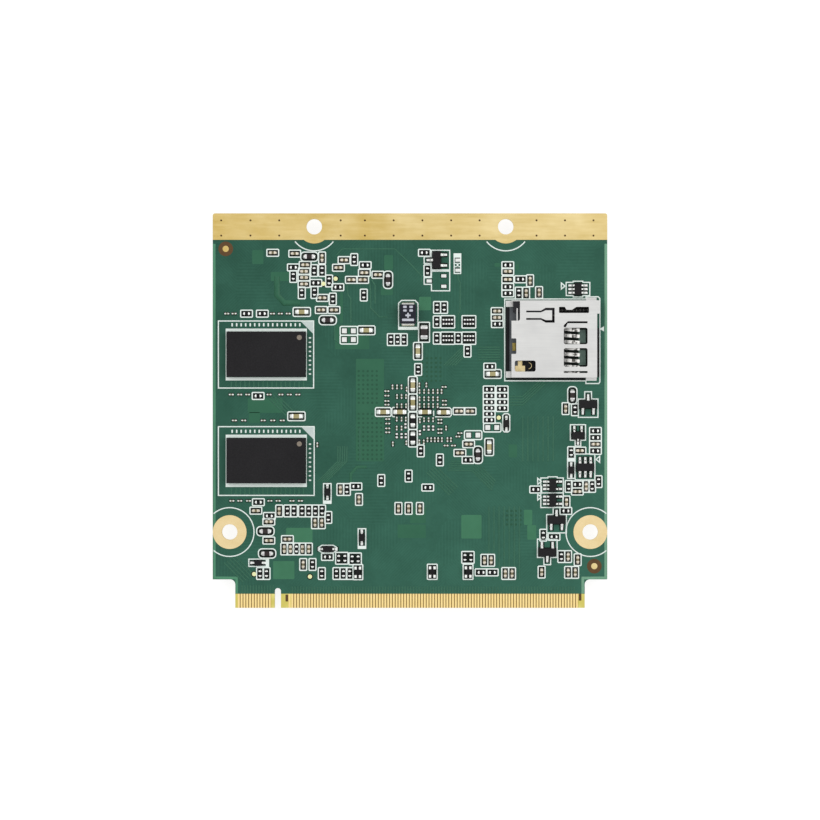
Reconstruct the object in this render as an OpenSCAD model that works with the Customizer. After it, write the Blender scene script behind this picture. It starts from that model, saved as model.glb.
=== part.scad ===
// System on module: a square computer board with an edge connector and a memory card socket.
// Millimetres. +Z is up out of the socket face, +Y points to the plated strip, +X to the socket.
// The origin lies under the board's centre, level with the tallest parts of the lower face.

/* [Board] */
// Width of the board along X
board_w = 70; // [70:0.5:80]
// Length of the board along Y, edge connector included
board_l = 70; // [70:0.5:80]
// Thickness of the laminate
board_t = 1.2; // [0.8:0.1:2]
// Radius of the four outer corners
board_corner_r = 0.4; // [0.2:0.1:1]
// Thickness of the plated copper
copper_t = 0.05; // [0.03:0.01:0.1]

/* [Mounting holes] */
// Diameter of the four mounting holes
hole_d = 2.8; // [2.2:0.1:3.2]
// Diameter of the plated land round each hole
land_d = 6; // [5:0.1:6.4]
// Distance between the two upper holes
upper_hole_spacing = 34; // [30:0.5:40]
// Distance from the upper edge to the upper holes
upper_hole_edge = 2.35; // [2:0.05:3]
// Distance between the two lower holes on a board of the standard width
lower_hole_spacing = 64; // [63:0.25:66]
// Distance from the connector edge to the lower holes
lower_hole_edge = 13.45; // [12.5:0.05:14.5]
// Depth of the plated strip along the upper edge
strip_depth = 4.7; // [4:0.1:5.2]

/* [Edge connector] */
// Width of the connector tongue
tongue_w = 62; // [61.5:0.1:63]
// Length of the connector tongue
tongue_l = 5.05; // [4.5:0.05:5.2]
// Inner radius of the notches beside the tongue
notch_r = 0.9; // [0.4:0.1:1.5]
// Width of the key slot
key_w = 1.1; // [0.8:0.1:1.4]
// Depth of the key slot
key_depth = 3.5; // [2.8:0.1:4]
// Distance from the tongue's left side to the key slot's centre
key_offset = 7.55; // [7.4:0.05:7.8]
// Pitch of the contact fingers
finger_pitch = 0.5; // [0.4:0.05:0.8]
// Width of one contact finger
finger_w = 0.35; // [0.2:0.01:0.38]
// Length of one contact finger
finger_l = 2.5; // [2:0.1:3]
// Bare laminate between the tongue's sides and the nearest finger
finger_margin = 0.45; // [0.3:0.05:0.9]
// Bare laminate between the key slot and the fingers on its left
key_margin_left = 0.5; // [0.3:0.05:0.9]
// Bare laminate between the key slot and the fingers on its right
key_margin_right = 1.35; // [0.9:0.05:1.8]

/* [Memory packages] */
// Length of a memory package
memory_l = 14; // [12.8:0.1:14.6]
// Width of a memory package
memory_w = 8; // [7.2:0.1:9]
// Height of a memory package over its balls
memory_h = 0.9; // [0.6:0.05:1.3]
// Pitch of the memory balls
memory_ball_pitch = 0.8; // [0.7:0.05:0.82]
// Diameter of a memory ball
memory_ball_d = 0.45; // [0.3:0.05:0.55]
// Height of a soldered memory ball
memory_ball_h = 0.25; // [0.2:0.05:0.4]
// Diameter of the first-pin mark
memory_mark_d = 0.95; // [0.6:0.05:1.2]
// Depth of the first-pin mark
memory_mark_depth = 0.05; // [0.03:0.01:0.1]

/* [Memory card socket] */
// Length of the socket along the card's travel
socket_l = 15.15; // [14.6:0.05:16]
// Width of the socket
socket_w = 13.65; // [13.5:0.05:14.1]
// Height of the socket
socket_h = 1.85; // [1.75:0.05:2.3]
// Thickness of the steel shell
shell_t = 0.15; // [0.1:0.01:0.2]
// Width of the cuts round the shell's spring tongue
shell_slot_w = 0.35; // [0.2:0.05:0.5]
// Thickness of the housing's floor
socket_floor_t = 0.4; // [0.3:0.05:0.45]
// Number of card contacts
contact_count = 8; // [4:1:8]
// Pitch of the card contacts
contact_pitch = 1.1; // [0.9:0.05:1.12]
// Width of one card contact
contact_w = 0.6; // [0.35:0.05:0.7]
// Thickness of the contact strip
contact_t = 0.12; // [0.08:0.01:0.15]
// Clearance round the ejector slider
slider_gap = 0.08; // [0.05:0.01:0.12]
// Travel of the ejector slider
slider_travel = 2.6; // [1.5:0.1:2.8]
// Outer diameter of the ejector spring
spring_d = 1; // [0.8:0.05:1.05]
// Wire diameter of the ejector spring
spring_wire_d = 0.14; // [0.1:0.01:0.18]
// Turns of the ejector spring
spring_turns = 10; // [6:1:12]
// Wire diameter of the cam pin
cam_pin_d = 0.25; // [0.2:0.01:0.3]

/* [Small chips] */
// Plating on the ends of the chips
plate_t = 0.02; // [0.01:0.01:0.03]
// Length of a small resistor or capacitor
chip_l = 1; // [0.9:0.05:1.1]
// Width of a small resistor or capacitor
chip_w = 0.5; // [0.4:0.05:0.6]
// Height of a small resistor
resistor_h = 0.35; // [0.3:0.05:0.5]
// Height of a small capacitor
capacitor_h = 0.5; // [0.4:0.05:0.6]
// Length of the plated ends of a small resistor
chip_end = 0.27; // [0.2:0.01:0.32]
// Length of the plated ends of a small capacitor
capacitor_end = 0.33; // [0.25:0.01:0.38]
// Length of a large capacitor or bead
large_chip_l = 1.6; // [1.5:0.05:1.7]
// Width of a large capacitor or bead
large_chip_w = 0.8; // [0.7:0.05:0.9]
// Height of a large capacitor or bead
large_chip_h = 0.8; // [0.6:0.05:0.9]
// Height of a large resistor
large_resistor_h = 0.45; // [0.4:0.05:0.6]
// Length of the plated ends of a large chip
large_chip_end = 0.38; // [0.3:0.02:0.5]
// Length of a tiny capacitor
tiny_l = 0.6; // [0.55:0.01:0.64]
// Width of a tiny capacitor
tiny_w = 0.3; // [0.25:0.01:0.33]
// Height of a tiny capacitor
tiny_h = 0.3; // [0.25:0.01:0.35]
// Length of the plated ends of a tiny capacitor
tiny_end = 0.18; // [0.1:0.01:0.2]
// Length of the supply bead
supply_bead_l = 2; // [1.8:0.05:2.2]
// Width of the supply bead
supply_bead_w = 1.25; // [1:0.05:1.4]
// Height of the supply bead
supply_bead_h = 0.9; // [0.7:0.05:1.2]

/* [Arrays, chokes and the tantalum capacitor] */
// Length of a resistor array
array_l = 2; // [1.9:0.05:2.2]
// Width of a resistor array
array_w = 1; // [0.9:0.05:1.2]
// Height of a resistor array
array_h = 0.45; // [0.35:0.05:0.6]
// Pitch of a resistor array's ends
array_pitch = 0.5; // [0.4:0.02:0.52]
// Width of a resistor array's ends
array_end_w = 0.3; // [0.2:0.02:0.36]
// Length of a line choke
choke_l = 2; // [1.8:0.05:2.2]
// Width of a line choke
choke_w = 1.2; // [1.1:0.05:1.4]
// Height of a line choke
choke_h = 0.95; // [0.8:0.05:1.3]
// Waist taken from each side of a choke's core
choke_waist = 0.2; // [0.1:0.02:0.28]
// Length of the tantalum capacitor's case
tantalum_l = 3.5; // [3.2:0.1:3.8]
// Width of the tantalum capacitor's case
tantalum_w = 2.8; // [2.4:0.1:3]
// Height of the tantalum capacitor's case
tantalum_h = 1.8; // [1.2:0.1:2]
// Width of the tantalum capacitor's end straps
tantalum_strap_w = 2.2; // [1.6:0.1:2.3]

/* [Leaded parts] */
// Thickness of the leads
lead_t = 0.13; // [0.1:0.01:0.16]
// Length of a large transistor's body
sot_l = 2.95; // [2.8:0.05:3.05]
// Width of a large transistor's body
sot_w = 1.4; // [1.2:0.05:1.5]
// Height of a large transistor
sot_h = 1; // [0.9:0.05:1.2]
// Width across a large transistor's leads
sot_span = 2.5; // [2.4:0.05:2.7]
// Pitch of a large transistor's leads
sot_pitch = 0.95; // [0.9:0.01:1]
// Width of a large transistor's lead
sot_lead_w = 0.42; // [0.3:0.02:0.5]
// Length of a small package's body
sc_l = 2.1; // [2:0.05:2.2]
// Width of a small package's body
sc_w = 1.25; // [1.15:0.05:1.35]
// Height of a small package
sc_h = 0.9; // [0.8:0.05:1.1]
// Width across a small package's leads
sc_span = 2.25; // [2.1:0.05:2.4]
// Pitch of a small package's leads
sc_pitch = 0.65; // [0.62:0.01:0.68]
// Width of a small package's lead
sc_lead_w = 0.3; // [0.2:0.02:0.36]
// Length of a small diode's body
diode_l = 1.35; // [1.15:0.05:1.4]
// Width of a small diode's body
diode_w = 0.8; // [0.7:0.05:0.9]
// Height of a small diode
diode_h = 0.6; // [0.5:0.05:0.7]
// Width across a small diode's leads
diode_span = 2; // [1.9:0.05:2.2]
// Width of a small diode's lead
diode_lead_w = 0.34; // [0.25:0.01:0.4]
// Length of the large diode's body
large_diode_l = 1.7; // [1.6:0.05:1.8]
// Width of the large diode's body
large_diode_w = 1.05; // [0.95:0.05:1.2]
// Height of the large diode
large_diode_h = 0.95; // [0.8:0.05:1.05]
// Width across the large diode's leads
large_diode_span = 2.5; // [2.3:0.05:2.7]

/* [Lower face] */
// Side of the processor package
processor_w = 21; // [19:0.1:21.8]
// Height of the processor package over its balls
processor_h = 1.15; // [0.8:0.05:1.5]
// Side of the processor's moulded cap
processor_cap_w = 17.4; // [14:0.1:18.5]
// Thickness of the processor's substrate
substrate_t = 0.5; // [0.3:0.05:0.7]
// Pitch of the processor's balls
processor_ball_pitch = 0.8; // [0.65:0.05:0.8]
// Balls along each side of the processor
processor_ball_count = 23; // [15:2:23]
// Rings of balls round the processor's rim
processor_ball_rings = 3; // [2:1:4]
// Diameter of a processor ball
processor_ball_d = 0.5; // [0.35:0.05:0.55]
// Height of a soldered processor ball
processor_ball_h = 0.35; // [0.25:0.05:0.45]
// Length of the storage package
storage_l = 13; // [11:0.1:13.6]
// Width of the storage package
storage_w = 11.5; // [10:0.1:12]
// Height of the storage package over its balls
storage_h = 0.8; // [0.6:0.05:1.1]
// Pitch of the storage package's balls
storage_ball_pitch = 1; // [0.8:0.05:1]
// Side of a leadless chip
leadless_w = 7; // [6:0.1:7.6]
// Height of a leadless chip
leadless_h = 0.85; // [0.7:0.05:1]
// Pitch of a leadless chip's lands
leadless_pitch = 0.5; // [0.4:0.05:0.65]
// Width of a leadless chip's land
leadless_land_w = 0.25; // [0.18:0.01:0.3]
// Length of a leadless chip's land
leadless_land_l = 0.45; // [0.3:0.05:0.6]
// Length of the boot memory's body
boot_l = 5.2; // [4.8:0.1:5.4]
// Width of the boot memory's body
boot_w = 5.3; // [5:0.1:5.5]
// Height of the boot memory
boot_h = 1.75; // [1.4:0.05:1.9]
// Width across the boot memory's leads
boot_span = 7.8; // [7.4:0.1:8.2]
// Pitch of the boot memory's leads
boot_pitch = 1.27; // [1.2:0.01:1.3]
// Side of a power inductor
inductor_w = 4.2; // [3.8:0.1:4.6]
// Height of a power inductor
inductor_h = 2; // [1.9:0.1:2.6]
// Width of a power inductor's clip
inductor_clip_w = 2; // [1.4:0.1:2.6]
// Length of a crystal can
crystal_l = 3.2; // [2.8:0.1:3.4]
// Width of a crystal can
crystal_w = 2.5; // [2:0.1:2.7]
// Height of a crystal's ceramic base
crystal_base_h = 0.45; // [0.3:0.05:0.6]
// Height of a crystal's metal lid
crystal_lid_h = 0.3; // [0.2:0.05:0.4]

/* [Hidden] */
$fn = 32;
eps = 0.01;

// Levels: the lower face stands on its tallest parts
processor_stack_h = processor_ball_h + processor_h;
hidden_memory_stack_h = memory_ball_h + memory_h;
board_z = max(inductor_h, boot_h, processor_stack_h, hidden_memory_stack_h);
face_z = board_z + board_t;

// Places are given in steps of a layout grid, from the board's centre: a step is 1 mm on the standard board
layout_steps = 70;
spread_x = board_w / layout_steps;
spread_y = board_l / layout_steps;
function spot(p) = [p[0] * spread_x, p[1] * spread_y, 0];

// Edges and holes of the board
edge_x = board_w / 2;
upper_edge_y = board_l / 2;
lower_edge_y = -board_l / 2;
upper_hole_y = upper_edge_y - upper_hole_edge;
lower_hole_y = lower_edge_y + lower_hole_edge;
upper_holes = [[-upper_hole_spacing / 2, upper_hole_y], [upper_hole_spacing / 2, upper_hole_y]];
lower_hole_x = edge_x - (layout_steps - lower_hole_spacing) / 2;
lower_holes = [[-lower_hole_x, lower_hole_y], [lower_hole_x, lower_hole_y]];

// Contact fingers: as many as fit on each side of the key slot
tongue_x = tongue_w / 2;
key_x = key_offset - tongue_x;
short_row_start = finger_margin - tongue_x;
short_row_end = key_x - key_w / 2 - key_margin_left;
long_row_start = key_x + key_w / 2 + key_margin_right;
long_row_end = tongue_x - finger_margin - key_margin_left;
function finger_count(from, to) = floor((to - from - finger_w) / finger_pitch + eps) + 1;

// Socket's corner on the face, and parts beyond its upper side, at a distance given as the second value
socket_centre = [25.525, 12.675];
socket_at = [socket_centre[0] * spread_x - socket_l / 2, socket_centre[1] * spread_y - socket_w / 2];
function above_socket(places) = [
    for (p = places) [p[0], (socket_at[1] + socket_w + p[1]) / spread_y, p[2]]
];

// Places on the socket face for parts that lie along X or along Y
resistors_above_socket_x = [[17.35, 6.3], [17.35, 2.45], [17.35, 1.3], [19.6, 3.8]];
other_resistors_along_x = [
    [-20.7, 25.4], [-16.7, 22.65], [-12.8, 21.9], [-7.95, 25.8], [2.55, 28], [15.5, 15.35], [14.15, 7.8],
    [-29, 17.2], [-26.2, 17.2], [-26.95, 2.6],
    [14.05, 3.75], [14.05, 2.6], [14.05, 1.5], [14.05, 0.45], [14.05, -0.6], [14.05, -1.65],
    [16.35, 3.75], [16.35, 2.6], [16.35, 1.5], [16.35, 0.45],
    [-26.9, -16.25], [-24.95, -18.7], [-9.6, -13.45], [3.15, -13.65], [10.3, -8.75],
    [32.9, -3.6], [32.9, -4.8], [32.9, -7.15], [29.7, -13.1], [22.3, -14], [27.65, -17.8],
    [-14.65, -25.95], [12.6, -28.7], [14.6, -28.7], [25.55, -22.4]
];
resistors_along_x = concat(above_socket(resistors_above_socket_x), other_resistors_along_x);
resistors_above_socket_y = [[19.3, 1.35]];
other_resistors_along_y = [
    [-20.7, 23.8], [-19.2, 20.9], [-17, 24.85], [-15.6, 24.85], [-14.35, 23], [-16.95, 20.95],
    [-13.7, 19.8], [-9.9, 26.8], [-8.2, 20.5], [3.1, 24.8], [4.8, 18.3], [6.05, 18.3],
    [-3.4, 12.6], [-2.2, 12.6], [-1.1, 12.6], [4.75, 15.75], [4.75, 12.85], [8.55, 12.85],
    [10.2, 10.55], [1.45, 7.3], [29.25, 0.15],
    [-21.75, -17.8], [-20.6, -17.8], [-19.15, -17.8], [-17.95, -17.8], [-16.8, -17.8], [-15.6, -17.8],
    [-14.5, -18.95], [-11.2, -14], [-5.1, -12.4], [-0.25, -11.6], [1.9, -7.15], [5.3, -8.75],
    [28.6, -7.45], [33.45, -12.6], [28.15, -13.45], [32.3, -13.45],
    [-26.6, -28.9], [-25.45, -28.9], [-20.15, -24.55], [-17.3, -27.3], [-15.65, -28.9],
    [-13.05, -28.9], [-11.8, -28.9], [-10.7, -28.9], [23.65, -22.1], [26.85, -25.9],
    [-12.65, -26.2], [-11.55, -26.2], [-10.25, -26.3], [-9.2, -26.3], [9.75, -26.05], [10.8, -26.05]
];
resistors_along_y = concat(above_socket(resistors_above_socket_y), other_resistors_along_y);
capacitors_above_socket_x = [[17.35, 5.2], [17.35, 3.75]];
other_capacitors_along_x = [
    [-24.35, 28], [-20.45, 27.85], [-18.6, 25.85], [-18.8, 24.7], [-18.8, 23.6], [-18.8, 22.45],
    [-15.55, 20], [-15.75, 17.85], [-13.5, 17.85], [-11.7, 26.7], [-12.7, 25.35], [-8.1, 24.45],
    [-10.4, 23.2], [-8.4, 23.2], [-5.7, 24.1], [8.7, -0.1], [10.65, -0.1], [15.45, 17.65], [15.45, 16.5],
    [-27.35, -17.75], [10.4, -5.95], [8.85, -7.5], [32.9, -5.95], [30.15, -7.1], [29.7, -14.35],
    [-25.05, -19.7], [-25.05, -23.05], [-21.75, -22.8]
];
capacitors_along_x = concat(above_socket(capacitors_above_socket_x), other_capacitors_along_x);
capacitors_above_socket_y = [[21.3, 3.55], [20.6, 1.35], [22.9, 1.45]];
other_capacitors_along_y = [
    [-15.6, 27.1], [27.6, 0.35], [-23.2, -17.8], [-16.85, -19.9], [-15.65, -19.9], [-12.35, -14],
    [-9.05, -15.75], [-2.05, -17.35], [-0.25, -17.35], [1.75, -17.35], [31.25, -13.45], [27.75, -16.2],
    [-22.3, -24.55], [-21.2, -24.55], [-19.1, -24.55], [-17.95, -24.55], [-18.95, -27.3],
    [13.2, -26.55], [14.4, -26.55], [16.9, -28.9], [18.1, -28.9], [28.05, -25.9], [29.75, -26.45],
    [23.35, -28.65], [28.05, -28.7], [29.3, -28.7]
];
capacitors_along_y = concat(above_socket(capacitors_above_socket_y), other_capacitors_along_y);
large_capacitors_along_x = [
    [-19.2, 17.5], [-7.75, 14.25], [-4.75, -0.25], [-1.8, -0.25], [2.65, -0.25], [5.95, -0.3], [14.65, 6.5],
    [-20.15, -1]
];
large_capacitors_along_y = [
    [1.4, 10.55], [0.5, 4.5], [0.5, 1.4], [14.05, -6.45]
];
large_resistors_along_y = [[0.5, -1.8], [0.5, -4.9]];
// Tiny capacitors in rows, as y and the x of each, in columns, as x and the y of each, and by themselves
tiny_rows_along_x = [
    [17.2, [-32.5, -31.2, -24.4, -23, -21.6]],
    [2.85, [-31.7, -30.2, -28.8, -25, -22.9, -21.4, -19.9]],
    [-1.75, [-31.15, -29.5, -26.05, -24.35, -22.65]],
    [-16, [-31.6, -30.2, -28.65, -24.85, -23.4, -20.95, -19.45]]
];
tiny_columns_along_x = [
    [-4.1, [3.45, 2.65, 1.7, 1.05]],
    [-3.95, [-1.5, -2.3, -3.15, -3.85]],
    [5.3, [-1.6, -2.2, -3.3, -3.95]]
];
tiny_single_along_x = [
    [6.05, 4.2], [6.1, 1.75], [6.1, 1.05], [6.4, -6.2], [7.7, -6.2], [8.85, -4], [8.5, -4.6]
];
tiny_rows_along_y = [
    [4.2, [-3.1, -2.3, -1.5]],
    [2.5, [-2.3, -1.5, -0.7]],
    [0.85, [-2.3, -1.5, -0.7]],
    [3.4, [1.7, 2.5, 3.3, 4.1, 4.9]],
    [2.1, [1.7, 2.5, 3.3, 4.1, 4.9]],
    [0.9, [1.7, 2.5, 3.3, 4.1, 4.9]],
    [-1.5, [-2.35, -1.5, -0.75]],
    [-1.6, [2.5, 3.3, 4.1]],
    [-5.15, [3.1, 3.75, 4.4, 5, 5.65, 6.65, 7.25]]
];
tiny_single_along_y = [
    [-0.6, 3.8], [1.65, 4.55], [2.9, 4.55], [5.6, 3.4], [-2.35, -3.1], [-1.5, -3.1],
    [-3.05, -5.9], [-0.65, -5.7], [1.75, -1.8], [6.4, -3.1], [1.65, -5.55], [2.45, -5.55],
    [-16.45, -6.05]
];
function row_places(rows) = [for (row = rows, x = row[1]) [x, row[0]]];
function column_places(columns) = [for (column = columns, y = column[1]) [column[0], y]];
tiny_along_x = concat(
    row_places(tiny_rows_along_x), column_places(tiny_columns_along_x), tiny_single_along_x
);
tiny_along_y = concat(row_places(tiny_rows_along_y), tiny_single_along_y);
beads_along_x = [[-17.85, 27.3], [-14.6, 16.05], [-25.65, -21.4], [-25.35, -25.35]];
beads_along_y = [[-3.9, 23.2], [28.8, 2.7], [12.05, -7.85]];
supply_bead_at = [2.5, 13.9];
array_places = [[6.7, 15.75], [10.45, 15.75], [6.7, 12.85], [10.45, 12.85]];
choke_places = [[-9.25, -28.65], [10.3, -28.6], [3.95, -28.6]];
tantalum_at = [-0.35, 17.1];
// The third value turns the single lead from +Y, counterclockwise
large_transistors = [[4.75, 26.7, 90], [31.6, 1.1, 0], [26, -19.4, 0], [24.35, -25.1, 180]];
small_transistors = [[29.8, -4.4, 180]];
chip_above_socket = [29.8, 2.05, 90];
six_lead_small_chips = above_socket([chip_above_socket]);
five_lead_small_chips = [[25.3, -13.25, 90], [25.3, -15.9, 90]];
six_lead_large_chips = [[31.1, -10.05, 0]];
diodes_along_x = [[-26.95, -27]];
diodes_along_y = [[-14.65, -14.45], [17.1, -2.3], [28.6, -10.55], [-8.55, -22.5]];
large_diode_at = [-14.6, -24.55];
fiducial_side_inset = 2.3;
fiducial_strip_gap = 1.6;
fiducial_tongue_gap = 2.35;
fiducial_places = [
    [fiducial_side_inset - edge_x, upper_edge_y - strip_depth - fiducial_strip_gap],
    [edge_x - fiducial_side_inset, lower_edge_y + tongue_l + fiducial_tongue_gap]
];
fiducial_d = 1.1;
test_pad_places = [[-15.35, 22.5], [-13.2, 23.4], [15.75, -1.25], [-27.65, -29], [-17.75, -29.45]];
test_pad_d = 0.75;
small_land = [0.55, 0.9];
small_lands = [[3.4, 23], [6, 23.9], [6, 22.05], [8.5, 26.7], [8.5, 24.9]];
square_land = [0.85, 0.85];
square_lands = [
    [-11.65, 14.15], [-10.05, 14.15], [-11.65, 12.6], [-10.05, 12.6],
    [10.4, -4.35], [12.05, -4.35], [13.8, -3], [15.4, -3]
];
tiny_land = [0.36, 0.32];
tiny_land_step = 0.58;
tiny_land_pairs = [
    [-2.35, -4.45], [-1.5, -4.45], [-0.75, -4.45], [-0.8, -2.7], [1.75, -3.9], [2.5, -3.1], [3.3, -3.1],
    [4.1, -3.1]
];
upper_memory_at = [-25.5, 10];
lower_memory_at = [-25.5, -8.85];
memory_mark_inset = [1.1, 1.05];
memory_ball_rows = 16;
memory_ball_columns = [-4, -3, -2, 2, 3, 4];

// Places on the lower face, in the same X and Y
processor_at = [1.5, -0.5];
storage_at = [25.5, -5.5];
leadless_places = [[-11.5, 23.5], [26, 13.5], [-3, -21.5]];
boot_at = [11.5, -21.5];
inductor_places = [[-20, 26.3], [-20, 20.3], [-3, 25.5], [20, 25.5], [23.5, -21.5], [-24, -21.5]];
crystal_places = [[-13.5, -15.5], [17.6, 16]];
// Small capacitors in rows: place of the first, and the pitch to the next
hidden_columns = [[[-13.2, -9.6], 1.2], [[-16.6, 21.4], 1.4], [[20.6, 11.2], 1.2], [[3.2, -24], 1.3]];
hidden_column_counts = [17, 5, 5, 5];
hidden_rows = [
    [[-8, 12.6], 1.2], [[-8, -13.6], 1.2], [[-31, 16.2], 1.6], [[-31, 3], 1.6], [[20, -14.2], 1.4]
];
hidden_row_counts = [16, 16, 7, 7, 8];
function repeated(starts, counts, way) = [
    for (k = [0:len(starts) - 1], i = [0:counts[k] - 1]) starts[k][0] + i * starts[k][1] * way
];
hidden_capacitors_along_x = repeated(hidden_columns, hidden_column_counts, [0, 1]);
hidden_capacitors_along_y = repeated(hidden_rows, hidden_row_counts, [1, 0]);

// Socket: the card goes in along +X from the mouth, y runs up from the lower side wall
socket_ceiling = socket_h - shell_t;
rear_wall_t = 1;
rear_wall_x = socket_l - rear_wall_t - slider_gap;
side_rail_w = 0.2;
housing_front = -0.3;
housing_lip_l = 0.65;
housing_lip_t = 0.2;
housing_tab_l = 0.3;
housing_tab_t = 0.2;
housing_ledge_l = 0.4;
housing_ledge_h = 0.8;
front_foot_w = 1.1;
front_foot_l = 0.95;
front_foot_gap = 0.1;
wall_slot_x = [front_foot_w, socket_l / 2 + front_foot_w / 2];
wall_slot_l = socket_l / 2 - 2 * front_foot_w;
first_contact_y = 0.9;
contact_y = [for (i = [0:contact_count - 1]) first_contact_y + i * contact_pitch];
contact_row_end = first_contact_y + (contact_count - 1) * contact_pitch;
contact_bar_x = 8.9;
contact_bar_l = 0.55;
contact_tip_x = 12.1;
contact_tail_l = 0.9;
contact_rise_l = 0.25;
contact_slant = 4;
contact_slot_play = 0.06;
contact_window_x = 9.25;
contact_window_l = 4.2;
contact_window_low_margin = 0.1;
contact_window_high_margin = 0.2;
contact_bridge_w = 0.68;
contact_bridge_shift = 0.25;
contact_bridge_y = first_contact_y + ceil(contact_count / 2) * contact_pitch + contact_bridge_shift;
window_corner_r = 0.35;
slider_front = 0.3;
slider_end = 7.4;
slider_shoulder_x = 3.5;
slider_top = socket_ceiling - slider_gap;
slider_outer_y = socket_w - shell_t - slider_gap;
slider_arm_w = 1.85;
slider_shoulder_w = 3.2;
cam_y = slider_outer_y - 2.4;
cam_pin_x = 6.7;
cam_anchor_d = 0.5;
cam_anchor_x = slider_end + slider_travel + cam_anchor_d / 2 + 3 * slider_gap;
cam_groove_w = cam_pin_d + 4 * slider_gap;
cam_groove_depth = 0.5;
cam_groove_x = cam_pin_x - slider_travel - cam_groove_w / 2;
cam_groove_l = slider_travel + cam_groove_w;
cam_bar_z = slider_top - cam_groove_depth / 2 + slider_gap;
spring_y = slider_outer_y - 1.5;
spring_z = socket_floor_t + slider_gap + spring_d / 2;
spring_steps = 10;
spring_sides = 6;
latch_x = 0.9;
latch_l = 0.2;
latch_w = 0.7;
latch_t = 0.2;
switch_x = 1.17;
switch_y = 1;
earth_spring_x = 0.2;
earth_spring_y = 4.75;

// Rounded rectangle about its centre
module rounded_plate(w, l, r) {
    square([w - 2 * r, l], center = true);
    square([w, l - 2 * r], center = true);
    for (x = [-1, 1], y = [-1, 1])
        translate([x * (w / 2 - r), y * (l / 2 - r)])
            circle(r);
}

// Block that stands on z = 0, centred in X and Y
module block(size) {
    translate([-size[0] / 2, -size[1] / 2, 0])
        cube(size);
}

// Copies along X, along Y, and at an angle given as the third value
module along_x(places) {
    for (p = places)
        translate(spot(p))
            children();
}

module along_y(places) {
    for (p = places)
        translate(spot(p))
            rotate(90)
                children();
}

module turned(places) {
    for (p = places)
        translate(spot(p))
            rotate(p[2])
                children();
}

// The two faces of the board, each with local z pointing out of the board
module on_face() {
    translate([0, 0, face_z])
        children();
}

module on_lower_face() {
    translate([0, 0, board_z])
        mirror([0, 0, 1])
            children();
}

// Strip of sheet metal bent along points in X and Z, w wide in Y
function unit(v) = v / norm(v);
function left_of(v) = [-v[1], v[0]];
function strip_side(points, i) =
    let (last = len(points) - 1)
    let (before = unit(points[max(i, 1)] - points[max(i, 1) - 1]))
    let (after = unit(points[min(i, last - 1) + 1] - points[min(i, last - 1)]))
    let (middle = unit(before + after))
    left_of(middle) / (middle * before);
function strip_outline(points, t) = concat(
    [for (i = [0:len(points) - 1]) points[i] + strip_side(points, i) * t / 2],
    [for (i = [len(points) - 1:-1:0]) points[i] - strip_side(points, i) * t / 2]
);
module bent_strip(points, t, w) {
    rotate([90, 0, 0])
        translate([0, 0, -w / 2])
            linear_extrude(w)
                polygon(strip_outline(points, t));
}

// Outline of the laminate
module notch() {
    notch_w = edge_x - tongue_x;
    translate([tongue_x, lower_edge_y - eps]) {
        translate([notch_r, 0])
            square([notch_w, tongue_l + eps]);
        square([notch_w + eps, tongue_l - notch_r + eps]);
        translate([notch_r, tongue_l - notch_r + eps])
            circle(notch_r);
    }
}

module board_outline() {
    difference() {
        rounded_plate(board_w, board_l, board_corner_r);
        notch();
        mirror([1, 0])
            notch();
        translate([key_x - key_w / 2, lower_edge_y - eps])
            square([key_w, key_depth - key_w / 2 + eps]);
        translate([key_x, lower_edge_y + key_depth - key_w / 2])
            circle(d = key_w);
    }
}

module hole_circles(places, d) {
    for (p = places)
        translate(p)
            circle(d = d);
}

module circuit_board() {
    color("#34604f")
        translate([0, 0, board_z])
            linear_extrude(board_t)
                difference() {
                    board_outline();
                    hole_circles(upper_holes, hole_d);
                    hole_circles(lower_holes, hole_d);
                }
}

// Plated copper on both faces
module land_shape(places) {
    intersection() {
        difference() {
            hole_circles(places, land_d);
            hole_circles(places, hole_d);
        }
        board_outline();
    }
}

module plated_strip() {
    color("#dcc583")
        on_face()
            linear_extrude(copper_t)
                intersection() {
                    difference() {
                        union() {
                            translate([-edge_x, upper_edge_y - strip_depth])
                                square([board_w, strip_depth]);
                            hole_circles(upper_holes, land_d);
                        }
                        hole_circles(upper_holes, hole_d);
                    }
                    board_outline();
                }
}

module hole_lands() {
    color("#ecd79f")
        on_face()
            linear_extrude(copper_t)
                land_shape(lower_holes);
}

module lower_face_lands() {
    color("#ecd79f")
        on_lower_face()
            linear_extrude(copper_t)
                land_shape(concat(upper_holes, lower_holes));
}

module finger_row(from, to) {
    for (i = [0:finger_count(from, to) - 1])
        translate([from + i * finger_pitch, lower_edge_y])
            cube([finger_w, finger_l, copper_t]);
}

module edge_contacts() {
    color("#e0bd6a")
        on_face() {
            finger_row(short_row_start, short_row_end);
            finger_row(long_row_start, long_row_end);
        }
}

module lower_face_contacts() {
    color("#e0bd6a")
        on_lower_face() {
            finger_row(short_row_start, short_row_end);
            finger_row(long_row_start, long_row_end);
        }
}

module fiducials() {
    color("#f0dba8")
        on_face()
            for (p = fiducial_places)
                translate([p[0], p[1], 0])
                    cylinder(h = copper_t, d = fiducial_d);
}

module test_pads() {
    color("#d8d68c")
        on_face()
            along_x(test_pad_places)
                cylinder(h = copper_t, d = test_pad_d);
}

module bare_lands() {
    color("#e4e6e2")
        on_face() {
            along_y(small_lands)
                block([small_land[0], small_land[1], copper_t]);
            along_x(square_lands)
                block([square_land[0], square_land[1], copper_t]);
            along_x(tiny_land_pairs)
                for (y = [-1, 1])
                    translate([0, y * tiny_land_step / 2, 0])
                        block([tiny_land[0], tiny_land[1], copper_t]);
        }
}

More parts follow.
